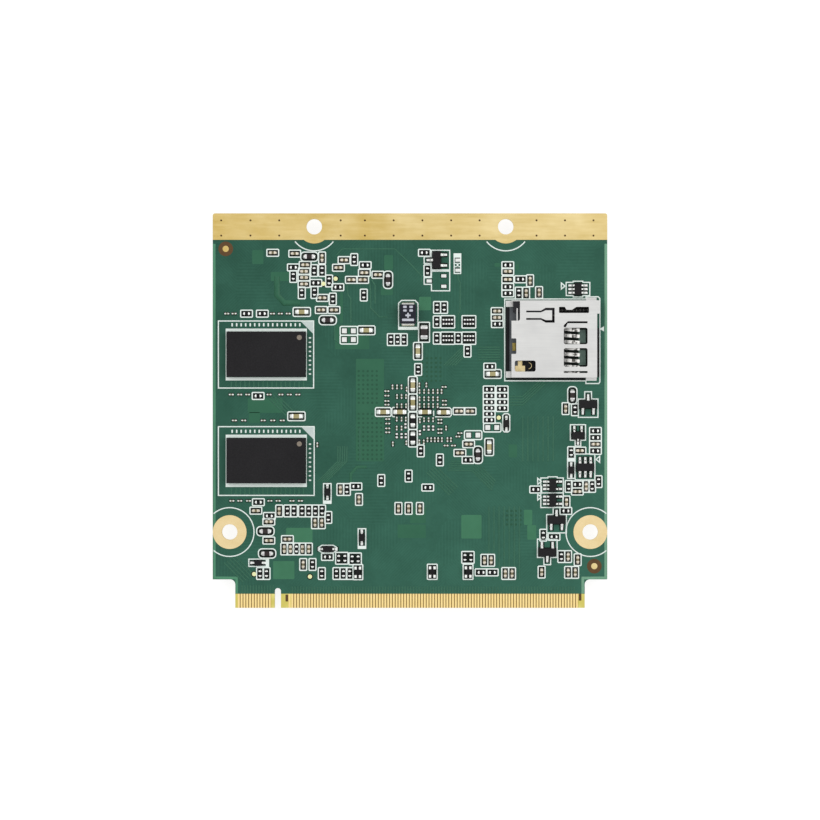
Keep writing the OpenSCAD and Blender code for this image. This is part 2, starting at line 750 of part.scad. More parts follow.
// Ball-grid memory packages
module memory_package() {
    translate([0, 0, memory_ball_h])
        difference() {
            block([memory_l, memory_w, memory_h]);
            translate([memory_l / 2 - memory_mark_inset[0], memory_w / 2 - memory_mark_inset[1],
                       memory_h - memory_mark_depth])
                cylinder(h = memory_mark_depth + eps, d = memory_mark_d);
        }
}

module memory_ball_grid() {
    linear_extrude(memory_ball_h)
        for (i = [0:memory_ball_rows - 1], c = memory_ball_columns)
            translate([(i - (memory_ball_rows - 1) / 2) * memory_ball_pitch, c * memory_ball_pitch])
                circle(d = memory_ball_d);
}

module upper_memory() {
    color("#262428")
        on_face()
            translate(spot(upper_memory_at))
                memory_package();
}

module lower_memory() {
    color("#262428")
        on_face()
            translate(spot(lower_memory_at))
                memory_package();
}

module memory_balls() {
    color("#c9ccd0")
        on_face()
            along_x([upper_memory_at, lower_memory_at])
                memory_ball_grid();
}

// Memory card socket
module in_socket() {
    translate([socket_at[0], socket_at[1], face_z])
        children();
}

// Opening given by two corners, with rounded corners
module window(from, to, r) {
    translate((from + to) / 2)
        rounded_plate(to[0] - from[0], to[1] - from[1], r);
}

// Two openings over the contacts, with a bridge between them, and a slot over the first contact
module contact_windows() {
    low = first_contact_y + contact_pitch - contact_window_low_margin;
    high = contact_row_end + contact_window_high_margin;
    end_x = contact_window_x + contact_window_l;
    window([contact_window_x, low], [end_x, contact_bridge_y - contact_bridge_w / 2], window_corner_r);
    window([contact_window_x, contact_bridge_y + contact_bridge_w / 2], [end_x, high], window_corner_r);
    window([contact_window_x, first_contact_y - contact_window_low_margin],
           [end_x, first_contact_y + shell_slot_w - contact_window_low_margin], shell_slot_w / 4);
}

// Spring tongue that presses on the cam pin: a straight neck with a wider head, and the cut round it
module tongue_shape(root_x, neck_x, head_x, end_x, neck_half, head_half) {
    translate([0, cam_y])
        polygon([
            [root_x, -neck_half], [neck_x, -neck_half], [head_x, -head_half], [end_x, -head_half],
            [end_x, head_half], [head_x, head_half], [neck_x, neck_half], [root_x, neck_half]
        ]);
}

module tongue_cut() {
    root_x = 2.6;
    neck_x = 5.2;
    head_x = 6.05;
    end_x = 7.4;
    neck_half = 0.66;
    head_half = 1.09;
    neck_slot = shell_slot_w * 0.9;
    head_slot = shell_slot_w * 1.3;
    difference() {
        tongue_shape(root_x, neck_x, head_x, end_x + head_slot / 2, neck_half + neck_slot / 2,
                     head_half + head_slot / 2);
        tongue_shape(root_x - eps, neck_x, head_x, end_x - head_slot / 2, neck_half - neck_slot / 2,
                     head_half - head_slot / 2);
    }
}

// Hooked cut beside the upper contact window
module hooked_cut() {
    end_x = contact_window_x + contact_window_l;
    straight_l = 3.5;
    beyond_row = 1;
    bend_x = end_x - straight_l;
    y = contact_row_end + beyond_row;
    polygon([
        [end_x, y], [end_x, y + shell_slot_w], [bend_x, y + shell_slot_w],
        [bend_x - 2 * shell_slot_w, y - shell_slot_w], [bend_x - 2 * shell_slot_w, y - 2 * shell_slot_w],
        [bend_x - shell_slot_w, y - 2 * shell_slot_w], [bend_x, y]
    ]);
}

// Opening over the ejector spring, with a tab left standing in its upper side
module spring_opening() {
    corner = [slider_end + 1, spring_y - spring_d / 2];
    size = [5.3, spring_d + slider_gap];
    tab_root = [1, 3.1];
    tab_end = [1.35, 2.3];
    tab_l = 0.52;
    difference() {
        window(corner, corner + size, window_corner_r / 2);
        translate(corner)
            polygon([
                [tab_root[0], size[1] + eps], [tab_end[0], size[1] - tab_l], [tab_end[1], size[1] - tab_l],
                [tab_root[1], size[1] + eps]
            ]);
    }
}

module shell_top_outline() {
    latch_opening = [1.5, 3.6];
    mouth_notch = [0.85, 2.75];
    mouth_notch_y = earth_spring_y + 0.8;
    switch_corner = [switch_x - 0.6, switch_y + 0.05];
    switch_window = [3.7, 1.95];
    rear_tab = [0.5, 2.35];
    reach = 2 * window_corner_r;
    difference() {
        union() {
            square([socket_l, socket_w]);
            translate([0, socket_w - rear_tab[1]])
                square([socket_l + rear_tab[0], rear_tab[1]]);
        }
        window([-reach, socket_w - latch_opening[1]], [latch_opening[0], socket_w + reach], window_corner_r);
        window([-reach, mouth_notch_y - mouth_notch[1] / 2],
               [mouth_notch[0], mouth_notch_y + mouth_notch[1] / 2], window_corner_r / 2);
        window(switch_corner, switch_corner + switch_window, window_corner_r);
        spring_opening();
        hooked_cut();
        contact_windows();
        tongue_cut();
    }
}

// Foot soldered to the board, outward along +Y from a side wall at y = 0
module shell_foot(w, l) {
    translate([0, -shell_t, 0])
        cube([w, l + shell_t, shell_t]);
    translate([0, -shell_t, 0])
        cube([w, shell_t, shell_t * 2 + eps]);
}

module shell_wall() {
    cube([socket_l, shell_t, socket_h]);
}

module socket_shell() {
    rear_foot_w = 1.9;
    rear_foot_l = 0.55;
    lip_h = 0.5;
    color("#dad7d5")
        in_socket() {
            translate([0, 0, socket_ceiling])
                linear_extrude(shell_t)
                    shell_top_outline();
            difference() {
                union() {
                    shell_wall();
                    translate([0, socket_w - shell_t, 0])
                        shell_wall();
                }
                for (x = wall_slot_x)
                    translate([x, -eps, -eps])
                        cube([wall_slot_l, socket_w + 2 * eps, shell_t * 2 + eps]);
            }
            translate([socket_l - shell_t, shell_t, socket_h - lip_h])
                cube([shell_t, socket_w - 2 * shell_t, lip_h]);
            translate([socket_l - rear_foot_w, socket_w, 0])
                shell_foot(rear_foot_w, rear_foot_l);
            translate([socket_l, 0, 0])
                rotate(180)
                    shell_foot(rear_foot_w, rear_foot_l);
            for (y = [0, socket_w - front_foot_w])
                translate([-front_foot_l, y, 0])
                    cube([front_foot_l + front_foot_w, front_foot_w, shell_t]);
        }
}

module socket_floor_outline() {
    relief_l = front_foot_w + front_foot_gap - housing_front;
    relief_w = front_foot_w + front_foot_gap;
    difference() {
        translate([housing_front, shell_t])
            square([socket_l - shell_t - housing_front, socket_w - 2 * shell_t]);
        contact_windows();
        translate([contact_bar_x - contact_tail_l - shell_slot_w, first_contact_y - contact_pitch / 2])
            square([contact_tail_l + shell_slot_w, contact_row_end - first_contact_y + contact_pitch]);
        for (y = [0, socket_w - relief_w])
            translate([housing_front - eps, y])
                square([relief_l + eps, relief_w]);
    }
}

module socket_housing() {
    color("#1d1c1e")
        in_socket()
            difference() {
                union() {
                    linear_extrude(socket_floor_t)
                        socket_floor_outline();
                    translate([housing_front - housing_lip_l, front_foot_w + front_foot_gap, 0])
                        cube([housing_lip_l + front_foot_gap, socket_w - 2 * (front_foot_w + front_foot_gap),
                              housing_lip_t]);
                    for (x = wall_slot_x)
                        translate([x + front_foot_gap, -housing_tab_l, 0])
                            cube([wall_slot_l - 2 * front_foot_gap - housing_tab_l,
                                  housing_tab_l + side_rail_w, housing_tab_t]);
                    translate([front_foot_w + front_foot_gap, shell_t, 0])
                        cube([rear_wall_x - front_foot_w - front_foot_gap, side_rail_w, socket_ceiling]);
                    translate([rear_wall_x, shell_t, 0])
                        cube([socket_l - shell_t - rear_wall_x, socket_w - 2 * shell_t, socket_ceiling]);
                    translate([socket_l - shell_t, shell_t, 0])
                        cube([shell_t + housing_ledge_l, contact_row_end, housing_ledge_h]);
                    translate([contact_bar_x, shell_t, 0])
                        cube([contact_bar_l, contact_row_end + contact_pitch / 2, socket_floor_t * 2]);
                    translate([cam_anchor_x, cam_y, 0])
                        cylinder(h = cam_bar_z, d = cam_anchor_d);
                }
                translate([cam_anchor_x, cam_y, socket_floor_t])
                    cylinder(h = socket_h, d = cam_pin_d);
                translate([contact_bar_x - eps, 0, 0])
                    for (y = contact_y)
                        translate([0, y - contact_w / 2 - contact_slot_play, socket_floor_t])
                            cube([contact_bar_l + 2 * eps, contact_w + 2 * contact_slot_play, contact_t]);
            }
}

module socket_contacts() {
    strip_z = socket_floor_t + contact_t / 2;
    tip_gap = 0.45;
    tip_z = socket_ceiling - tip_gap;
    tip_reach = contact_tip_x - contact_bar_x - contact_bar_l / 2;
    color("#e9e7e2")
        in_socket()
            for (y = contact_y)
                translate([contact_bar_x + contact_bar_l / 2, y, 0])
                    rotate(-contact_slant)
                        bent_strip(
                            [
                                [-contact_tail_l - contact_bar_l / 2, contact_t / 2],
                                [-2 * contact_rise_l - contact_bar_l / 2, contact_t / 2],
                                [-contact_rise_l - contact_bar_l / 2, strip_z],
                                [contact_bar_l / 2 + contact_t, strip_z],
                                [tip_reach - 2 * contact_rise_l, tip_z],
                                [tip_reach, tip_z - contact_rise_l]
                            ],
                            contact_t, contact_w);
}

// Card switch in the lower corner of the mouth, and the earth spring in the mouth's notch
module socket_switch() {
    stem = [0.77, 2];
    cross = [1.75, 1.1];
    hook_at = [switch_x + 1.9, switch_y + 1.1];
    hook_r = 0.6;
    earth = [0.6, 1.4];
    color("#e3c67c")
        in_socket()
            translate([0, 0, socket_floor_t])
                linear_extrude(contact_t) {
                    translate([switch_x, switch_y])
                        square(stem);
                    translate([switch_x - (cross[0] - stem[0]) / 2, switch_y])
                        square(cross);
                    translate(hook_at)
                        difference() {
                            circle(hook_r);
                            circle(hook_r - contact_t);
                            translate([-2 * hook_r, -hook_r])
                                square(2 * hook_r);
                        }
                    translate([earth_spring_x, earth_spring_y])
                        square(earth);
                }
}

// Ejector: slider with a cam groove, card latch, return spring and cam pin
module socket_slider() {
    slider_z = socket_floor_t + slider_gap;
    color("#3a393d")
        in_socket()
            difference() {
                translate([0, 0, slider_z])
                    linear_extrude(slider_top - slider_z)
                        polygon([
                            [slider_front, slider_outer_y - slider_arm_w],
                            [slider_shoulder_x, slider_outer_y - slider_arm_w],
                            [slider_shoulder_x, slider_outer_y - slider_shoulder_w],
                            [slider_end, slider_outer_y - slider_shoulder_w],
                            [slider_end, slider_outer_y],
                            [slider_front, slider_outer_y]
                        ]);
                translate([cam_groove_x, cam_y - cam_groove_w / 2, slider_top - cam_groove_depth])
                    cube([cam_groove_l, cam_groove_w, cam_groove_depth + eps]);
                translate([cam_groove_x, cam_y - cam_groove_w / 2, slider_top - cam_groove_depth / 2])
                    cube([slider_end, cam_groove_w, cam_groove_depth]);
                translate([latch_x - slider_gap, slider_outer_y - slider_arm_w - eps, slider_top - latch_t])
                    cube([latch_l + 2 * slider_gap, latch_w + slider_gap + eps, latch_t + eps]);
            }
}

module socket_latch() {
    reach = 1.5;
    hook_drop = 0.35;
    color("#dcdad6")
        in_socket()
            translate([latch_x, slider_outer_y - slider_arm_w - reach, slider_top - latch_t]) {
                cube([latch_l, reach + latch_w, latch_t]);
                translate([0, 0, -hook_drop])
                    cube([latch_l, latch_t, hook_drop + latch_t]);
            }
}

// Helix about the spring's axis, with rings of points in planes through that axis
function spring_ring(i, n, length) =
    let (turn = 360 * spring_turns * i / n)
    let (coil_r = (spring_d - spring_wire_d) / 2)
    [for (j = [0:spring_sides - 1])
        let (side = 360 * j / spring_sides)
        let (reach = coil_r + spring_wire_d / 2 * cos(side))
        let (x = spring_wire_d / 2 * (1 + sin(side)) + (length - spring_wire_d) * i / n)
        [x, reach * cos(turn), reach * sin(turn)]];

module socket_spring() {
    n = spring_turns * spring_steps;
    length = rear_wall_x - slider_end - 2 * slider_gap;
    points = [for (i = [0:n], p = spring_ring(i, n, length)) p];
    sides = [for (i = [0:n - 1], j = [0:spring_sides - 1])
        let (k = (j + 1) % spring_sides)
        [i * spring_sides + j, i * spring_sides + k, (i + 1) * spring_sides + k, (i + 1) * spring_sides + j]];
    start_cap = [for (j = [spring_sides - 1:-1:0]) j];
    end_cap = [for (j = [0:spring_sides - 1]) n * spring_sides + j];
    color("#b9b7b3")
        in_socket()
            translate([slider_end + slider_gap, spring_y, spring_z])
                polyhedron(points, concat([start_cap], sides, [end_cap]));
}

module socket_cam_pin() {
    axis_z = cam_bar_z + cam_pin_d / 2;
    tip_z = slider_top - cam_groove_depth + slider_gap;
    color("#c8c6c2")
        in_socket() {
            translate([cam_pin_x, cam_y, axis_z])
                rotate([0, 90, 0])
                    cylinder(h = cam_anchor_x - cam_pin_x, d = cam_pin_d);
            translate([cam_pin_x, cam_y, tip_z])
                cylinder(h = axis_z - tip_z, d = cam_pin_d);
            translate([cam_anchor_x, cam_y, socket_floor_t])
                cylinder(h = axis_z - socket_floor_t, d = cam_pin_d);
            for (x = [cam_pin_x, cam_anchor_x])
                translate([x, cam_y, axis_z])
                    sphere(d = cam_pin_d);
        }
}

// Chips with two plated ends: size is length, width and height
module chip_core(size) {
    translate([0, 0, plate_t])
        block([size[0] - 2 * plate_t, size[1] - 2 * plate_t, size[2] - 2 * plate_t]);
}

module chip_end_blocks(size, end) {
    for (x = [-1, 1])
        translate([x * (size[0] - end) / 2, 0, 0])
            block([end, size[1], size[2]]);
}

module chip_cores(places_x, places_y, size) {
    along_x(places_x)
        chip_core(size);
    along_y(places_y)
        chip_core(size);
}

module chip_ends(places_x, places_y, size, end) {
    difference() {
        union() {
            along_x(places_x)
                chip_end_blocks(size, end);
            along_y(places_y)
                chip_end_blocks(size, end);
        }
        chip_cores(places_x, places_y, size);
    }
}

resistor_size = [chip_l, chip_w, resistor_h];
capacitor_size = [chip_l, chip_w, capacitor_h];
large_chip_size = [large_chip_l, large_chip_w, large_chip_h];
large_resistor_size = [large_chip_l, large_chip_w, large_resistor_h];
tiny_size = [tiny_l, tiny_w, tiny_h];
supply_bead_size = [supply_bead_l, supply_bead_w, supply_bead_h];

module resistors() {
    color("#1c1b1d")
        on_face() {
            chip_cores(resistors_along_x, resistors_along_y, resistor_size);
            chip_cores([], large_resistors_along_y, large_resistor_size);
        }
}

module resistor_ends() {
    color("#eceeec")
        on_face() {
            chip_ends(resistors_along_x, resistors_along_y, resistor_size, chip_end);
            chip_ends([], large_resistors_along_y, large_resistor_size, large_chip_end);
        }
}

module capacitors() {
    color("#b59a63")
        on_face()
            chip_cores(capacitors_along_x, capacitors_along_y, capacitor_size);
}

module capacitor_ends() {
    color("#eceeec")
        on_face()
            chip_ends(capacitors_along_x, capacitors_along_y, capacitor_size, capacitor_end);
}

module large_capacitors() {
    color("#b59a63")
        on_face()
            chip_cores(large_capacitors_along_x, large_capacitors_along_y, large_chip_size);
}

module large_capacitor_ends() {
    color("#eceeec")
        on_face()
            chip_ends(large_capacitors_along_x, large_capacitors_along_y, large_chip_size, large_chip_end);
}

module tiny_capacitors() {
    color("#8f8468")
        on_face()
            chip_cores(tiny_along_x, tiny_along_y, tiny_size);
}

module tiny_capacitor_ends() {
    color("#eceeec")
        on_face()
            chip_ends(tiny_along_x, tiny_along_y, tiny_size, tiny_end);
}

module beads() {
    color("#3a3333")
        on_face() {
            chip_cores(beads_along_x, beads_along_y, large_chip_size);
            chip_cores([], [supply_bead_at], supply_bead_size);
        }
}

module bead_ends() {
    color("#eceeec")
        on_face() {
            chip_ends(beads_along_x, beads_along_y, large_chip_size, large_chip_end);
            chip_ends([], [supply_bead_at], supply_bead_size, large_chip_end);
        }
}

// Arrays of four resistors with plated ends on both long sides
module array_core() {
    translate([0, 0, plate_t])
        block([array_l, array_w - 2 * plate_t, array_h - 2 * plate_t]);
}

module array_end_blocks() {
    for (i = [-1.5:1.5], y = [-1, 1])
        translate([i * array_pitch, y * (array_w - chip_end) / 2, 0])
            block([array_end_w, chip_end, array_h]);
}

module resistor_arrays() {
    color("#1c1b1d")
        on_face()
            along_x(array_places)
                array_core();
}

module resistor_array_ends() {
    color("#eceeec")
        on_face()
            difference() {
                along_x(array_places)
                    array_end_blocks();
                along_x(array_places)
                    array_core();
            }
}

// Line chokes: a waisted core whose four feet are plated
module choke_core() {
    flange_l = choke_l / 3;
    translate([0, 0, plate_t])
        difference() {
            block([choke_l - 2 * plate_t, choke_w - 2 * plate_t, choke_h - plate_t]);
            for (y = [-1, 1])
                translate([0, y * (choke_w - choke_waist) / 2, -eps])
                    block([choke_l - 2 * flange_l, choke_waist + eps, choke_h]);
        }
}

module choke_end_blocks() {
    foot_l = choke_l / 4;
    foot_w = choke_w / 3;
    for (x = [-1, 1], y = [-1, 1])
        translate([x * (choke_l - foot_l) / 2, y * (choke_w - foot_w) / 2, 0])
            block([foot_l, foot_w, choke_h + plate_t]);
}

module chokes() {
    color("#2b2a2c")
        on_face()
            along_y(choke_places)
                choke_core();
}

module choke_ends() {
    color("#eceeec")
        on_face()
            difference() {
                along_y(choke_places)
                    choke_end_blocks();
                along_y(choke_places)
                    choke_core();
            }
}

// Tantalum capacitor with straps folded under its case
tantalum_parting_h = tantalum_h * 0.45;
module tantalum_profile() {
    taper = 0.12;
    half = tantalum_l / 2;
    polygon([
        [-half + taper, lead_t], [half - taper, lead_t], [half, tantalum_parting_h],
        [half - taper, tantalum_h], [-half + taper, tantalum_h], [-half, tantalum_parting_h]
    ]);
}

module tantalum_case() {
    color("#2e2b2c")
        on_face()
            along_y([tantalum_at])
                rotate([90, 0, 0])
                    translate([0, 0, -tantalum_w / 2])
                        linear_extrude(tantalum_w)
                            tantalum_profile();
}

module tantalum_straps() {
    strap_under = 0.8;
    end_x = tantalum_l / 2;
    color("#e4e6e4")
        on_face()
            along_y([tantalum_at])
                for (side = [0, 180])
                    rotate(side) {
                        translate([end_x - strap_under, -tantalum_strap_w / 2, 0])
                            cube([strap_under + lead_t, tantalum_strap_w, lead_t]);
                        translate([end_x, -tantalum_strap_w / 2, 0])
                            cube([lead_t, tantalum_strap_w, tantalum_parting_h]);
                    }
}

// Moulded bodies with gull-wing leads: size is length, width and height
module moulded_body(size) {
    standoff = 0.08;
    taper = 0.06;
    parting_h = size[2] * 0.5;
    rotate([90, 0, 90])
        translate([0, 0, -size[0] / 2])
            linear_extrude(size[0])
                polygon([
                    [-size[1] / 2 + taper, standoff], [size[1] / 2 - taper, standoff],
                    [size[1] / 2, parting_h],
                    [size[1] / 2 - taper, size[2]], [-size[1] / 2 + taper, size[2]], [-size[1] / 2, parting_h]
                ]);
}

// One lead that leaves the body's long side at y = size[1] / 2 and stands on the board
module gull_lead(size, span, w) {
    out = (span - size[1]) / 2;
    foot = out * 0.5;
    parting_h = size[2] * 0.5;
    rotate(90)
        bent_strip(
            [
                [size[1] / 2, parting_h],
                [size[1] / 2 + out - foot - lead_t, parting_h],
                [size[1] / 2 + out - foot, lead_t / 2],
                [span / 2, lead_t / 2]
            ],
            lead_t, w);
}

// Rows of leads at multiples of the pitch, along +Y and along -Y
module gull_leads(size, span, w, pitch, upper, lower) {
    for (i = upper)
        translate([i * pitch, 0, 0])
            gull_lead(size, span, w);
    for (i = lower)
        rotate(180)
            translate([i * pitch, 0, 0])
                gull_lead(size, span, w);
}

sot_size = [sot_l, sot_w, sot_h];
sc_size = [sc_l, sc_w, sc_h];
diode_size = [diode_w, diode_l, diode_h];
large_diode_size = [large_diode_w, large_diode_l, large_diode_h];
boot_size = [boot_l, boot_w, boot_h];

module transistors() {
    color("#29272a")
        on_face() {
            turned(large_transistors)
                moulded_body(sot_size);
            turned(small_transistors)
                moulded_body(sc_size);
        }
}

module transistor_leads() {
    color("#e6e8e6")
        on_face() {
            turned(large_transistors)
                gull_leads(sot_size, sot_span, sot_lead_w, sot_pitch, [0], [-1, 1]);
            turned(small_transistors)
                gull_leads(sc_size, sc_span, sc_lead_w, sc_pitch, [0], [-1, 1]);
        }
}

module logic_chips() {
    color("#29272a")
        on_face() {
            turned(concat(six_lead_small_chips, five_lead_small_chips))
                moulded_body(sc_size);
            turned(six_lead_large_chips)
                moulded_body(sot_size);
        }
}

module logic_leads() {
    color("#e6e8e6")
        on_face() {
            turned(six_lead_small_chips)
                gull_leads(sc_size, sc_span, sc_lead_w, sc_pitch, [-1, 0, 1], [-1, 0, 1]);
            turned(five_lead_small_chips)
                gull_leads(sc_size, sc_span, sc_lead_w, sc_pitch, [-1, 0, 1], [-1, 1]);
            turned(six_lead_large_chips)
                gull_leads(sot_size, sot_span, sot_lead_w, sot_pitch, [-1, 0, 1], [-1, 0, 1]);
        }
}

module diodes() {
    color("#2b292c")
        on_face() {
            along_x(diodes_along_y)
                moulded_body(diode_size);
            along_y(diodes_along_x)
                moulded_body(diode_size);
            along_y([large_diode_at])
                moulded_body(large_diode_size);
        }
}

module diode_leads() {
    color("#e6e8e6")
        on_face() {
            along_x(diodes_along_y)
                gull_leads(diode_size, diode_span, diode_lead_w, 1, [0], [0]);
            along_y(diodes_along_x)
                gull_leads(diode_size, diode_span, diode_lead_w, 1, [0], [0]);
            along_y([large_diode_at])
                gull_leads(large_diode_size, large_diode_span, diode_lead_w, 1, [0], [0]);
        }
}

// Lower face: processor on a rim of balls
module processor() {
    color("#2b2b2e")
        on_lower_face()
            translate(spot(processor_at) + [0, 0, processor_ball_h]) {
                block([processor_w, processor_w, substrate_t]);
                block([processor_cap_w, processor_cap_w, processor_h]);
            }
}

module processor_balls() {
    half = (processor_ball_count - 1) / 2;
    color("#c9ccd0")
        on_lower_face()
            translate(spot(processor_at))
                linear_extrude(processor_ball_h)
                    for (i = [-half:half], j = [-half:half])
                        if (max(abs(i), abs(j)) > half - processor_ball_rings)
                            translate([i * processor_ball_pitch, j * processor_ball_pitch])
                                circle(d = processor_ball_d);
}

module hidden_memory_upper() {
    color("#262428")
        on_lower_face()
            translate(spot(upper_memory_at))
                memory_package();
}

module hidden_memory_lower() {
    color("#262428")
        on_lower_face()
            translate(spot(lower_memory_at))
                memory_package();
}

module hidden_memory_balls() {
    color("#c9ccd0")
        on_lower_face()
            along_x([upper_memory_at, lower_memory_at])
                memory_ball_grid();
}

module storage_chip() {
    color("#262428")
        on_lower_face()
            translate(spot(storage_at) + [0, 0, memory_ball_h])
                block([storage_w, storage_l, storage_h]);
}

module storage_balls() {
    columns = floor(storage_w / storage_ball_pitch / 2) - 1;
    rows = floor(storage_l / storage_ball_pitch / 2) - 1;
    color("#c9ccd0")
        on_lower_face()
            translate(spot(storage_at))
                linear_extrude(memory_ball_h)
                    for (i = [-columns:columns], j = [-rows:rows])
                        if (abs(i) > columns - 2 || abs(j) > rows - 2)
                            translate([i * storage_ball_pitch, j * storage_ball_pitch])
                                circle(d = memory_ball_d);
}

// Leadless chips: lands sit in recesses along the lower rim of the body
module leadless_lands_at() {
    count = floor((leadless_w - 2 * leadless_land_l - leadless_land_w) / leadless_pitch);
    for (side = [0:90:270], i = [0:count])
        rotate(side)
            translate([(i - count / 2) * leadless_pitch, (leadless_w - leadless_land_l) / 2, 0])
                block([leadless_land_w, leadless_land_l, copper_t]);
}

module leadless_chips() {
    color("#29272a")
        on_lower_face()
            along_x(leadless_places)
                translate([0, 0, copper_t])
                    block([leadless_w, leadless_w, leadless_h - copper_t]);
}

module leadless_lands() {
    thermal_land_w = leadless_w * 0.6;
    color("#d9dad6")
        on_lower_face()
            along_x(leadless_places) {
                leadless_lands_at();
                block([thermal_land_w, thermal_land_w, copper_t]);
            }
}

module boot_memory() {
    color("#29272a")
        on_lower_face()
            along_x([boot_at])
                moulded_body(boot_size);
}

module boot_leads() {
    color("#e6e8e6")
        on_lower_face()
            along_x([boot_at])
                gull_leads(boot_size, boot_span, sot_lead_w, boot_pitch, [-1.5:1.5], [-1.5:1.5]);
}

// Power inductors with clips folded round two sides
module inductors() {
    corner_r = 0.4;
    color("#47474b")
        on_lower_face()
            along_x(inductor_places)
                translate([0, 0, lead_t])
                    linear_extrude(inductor_h - lead_t)
                        rounded_plate(inductor_w - 2 * lead_t, inductor_w, corner_r);
}

module inductor_clips() {
    clip_under = 1.2;
    clip_h = 1.1;
    color("#e4e6e4")
        on_lower_face()
            along_x(inductor_places)
                for (side = [0, 180])
                    rotate(side) {
                        translate([inductor_w / 2 - clip_under, -inductor_clip_w / 2, 0])
                            cube([clip_under, inductor_clip_w, lead_t]);
                        translate([inductor_w / 2 - lead_t, -inductor_clip_w / 2, 0])
                            cube([lead_t, inductor_clip_w, clip_h]);
                    }
}

module crystal_bases() {
    color("#c9b48a")
        on_lower_face()
            along_x(crystal_places)
                block([crystal_l, crystal_w, crystal_base_h]);
}

module crystal_lids() {
    lid_inset = 0.15;
    color("#c8c8c6")
        on_lower_face()
            along_x(crystal_places)
                translate([0, 0, crystal_base_h])
                    block([crystal_l - 2 * lid_inset, crystal_w - 2 * lid_inset, crystal_lid_h]);
}

module hidden_capacitors() {
    color("#b59a63")
        on_lower_face()
            chip_cores(hidden_capacitors_along_x, hidden_capacitors_along_y, capacitor_size);
}

module hidden_capacitor_ends() {
    color("#eceeec")
        on_lower_face()
            chip_ends(hidden_capacitors_along_x, hidden_capacitors_along_y, capacitor_size, chip_end);
}

circuit_board();
plated_strip();
hole_lands();
lower_face_lands();
edge_contacts();
lower_face_contacts();
fiducials();
test_pads();
bare_lands();
upper_memory();
lower_memory();
memory_balls();
socket_housing();
socket_shell();
socket_contacts();
socket_switch();
socket_slider();
socket_latch();
socket_spring();
socket_cam_pin();
resistors();
resistor_ends();
capacitors();
capacitor_ends();
large_capacitors();
large_capacitor_ends();
tiny_capacitors();
tiny_capacitor_ends();
beads();
bead_ends();
resistor_arrays();
resistor_array_ends();
chokes();
choke_ends();
tantalum_case();
tantalum_straps();
transistors();
transistor_leads();
logic_chips();
logic_leads();
diodes();
diode_leads();
processor();
processor_balls();
hidden_memory_upper();
hidden_memory_lower();
hidden_memory_balls();
storage_chip();
storage_balls();
leadless_chips();
leadless_lands();
boot_memory();
boot_leads();
inductors();
inductor_clips();
crystal_bases();
crystal_lids();
hidden_capacitors();
hidden_capacitor_ends();
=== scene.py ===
# System on module: a square computer board with an edge connector, a plated strip and a memory card socket.
# Sizes are millimetres in the board's own frame; each finished piece is turned to metres before it rides.
import math

import bpy
from mathutils import Matrix, Vector


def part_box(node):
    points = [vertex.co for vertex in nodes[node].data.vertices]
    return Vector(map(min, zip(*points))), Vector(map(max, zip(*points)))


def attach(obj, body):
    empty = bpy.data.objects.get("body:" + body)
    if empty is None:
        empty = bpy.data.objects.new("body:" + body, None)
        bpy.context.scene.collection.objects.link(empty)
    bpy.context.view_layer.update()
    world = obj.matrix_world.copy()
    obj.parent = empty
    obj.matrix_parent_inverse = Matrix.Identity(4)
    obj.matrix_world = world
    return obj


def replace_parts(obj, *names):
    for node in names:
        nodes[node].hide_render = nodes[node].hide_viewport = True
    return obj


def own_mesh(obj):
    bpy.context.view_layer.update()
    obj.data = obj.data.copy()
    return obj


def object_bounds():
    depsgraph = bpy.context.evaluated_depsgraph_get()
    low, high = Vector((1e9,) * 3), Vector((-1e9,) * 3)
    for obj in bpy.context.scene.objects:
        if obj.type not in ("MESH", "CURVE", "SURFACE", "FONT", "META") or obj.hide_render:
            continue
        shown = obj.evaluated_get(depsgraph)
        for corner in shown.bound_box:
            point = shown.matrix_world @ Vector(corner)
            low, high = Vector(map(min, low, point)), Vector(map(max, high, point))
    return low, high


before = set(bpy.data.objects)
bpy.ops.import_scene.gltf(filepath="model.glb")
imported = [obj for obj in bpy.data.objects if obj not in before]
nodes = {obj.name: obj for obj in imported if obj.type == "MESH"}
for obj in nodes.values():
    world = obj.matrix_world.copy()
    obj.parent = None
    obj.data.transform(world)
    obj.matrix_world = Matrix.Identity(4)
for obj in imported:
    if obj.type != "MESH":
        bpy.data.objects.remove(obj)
cad_low, cad_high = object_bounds()
scene = bpy.context.scene
scene.view_settings.view_transform = "Standard"


# Table and studio: a white table top, two broad soft lamps at the left and right behind the board, and a
# camera straight above it. The room is white to the camera and in reflections.
table_size = 1.6
table_drop = 0.00002
table_glow = 0.86
room_level = 0.64
camera_z = 0.5488
camera_shift_y = 0.0001065
camera_lens = 135
lamps = [
    ("soft_lamp_left", (-0.36, 0.22, 0.40), 0.45, 0.75),
    ("soft_lamp_right", (0.38, 0.14, 0.40), 0.45, 0.95),
]


def linear(hex_colour):
    """An sRGB hex colour as the linear values that Blender's sockets take."""
    channels = [int(hex_colour[i:i + 2], 16) / 255 for i in (1, 3, 5)]
    return [c / 12.92 if c <= 0.04045 else ((c + 0.055) / 1.055) ** 2.4 for c in channels] + [1.0]


def add_node(tree, kind, settings={}, inputs={}):
    """Add one node: settings are its own choices, inputs are values or the sockets or nodes that feed it."""
    made = tree.nodes.new("ShaderNode" + kind)
    for name, value in settings.items():
        setattr(made, name, value)
    for name, value in inputs.items():
        if isinstance(value, bpy.types.Node):
            value = value.outputs[0]
        if isinstance(value, bpy.types.NodeSocket):
            tree.links.new(value, made.inputs[name])
        else:
            made.inputs[name].default_value = value
    return made


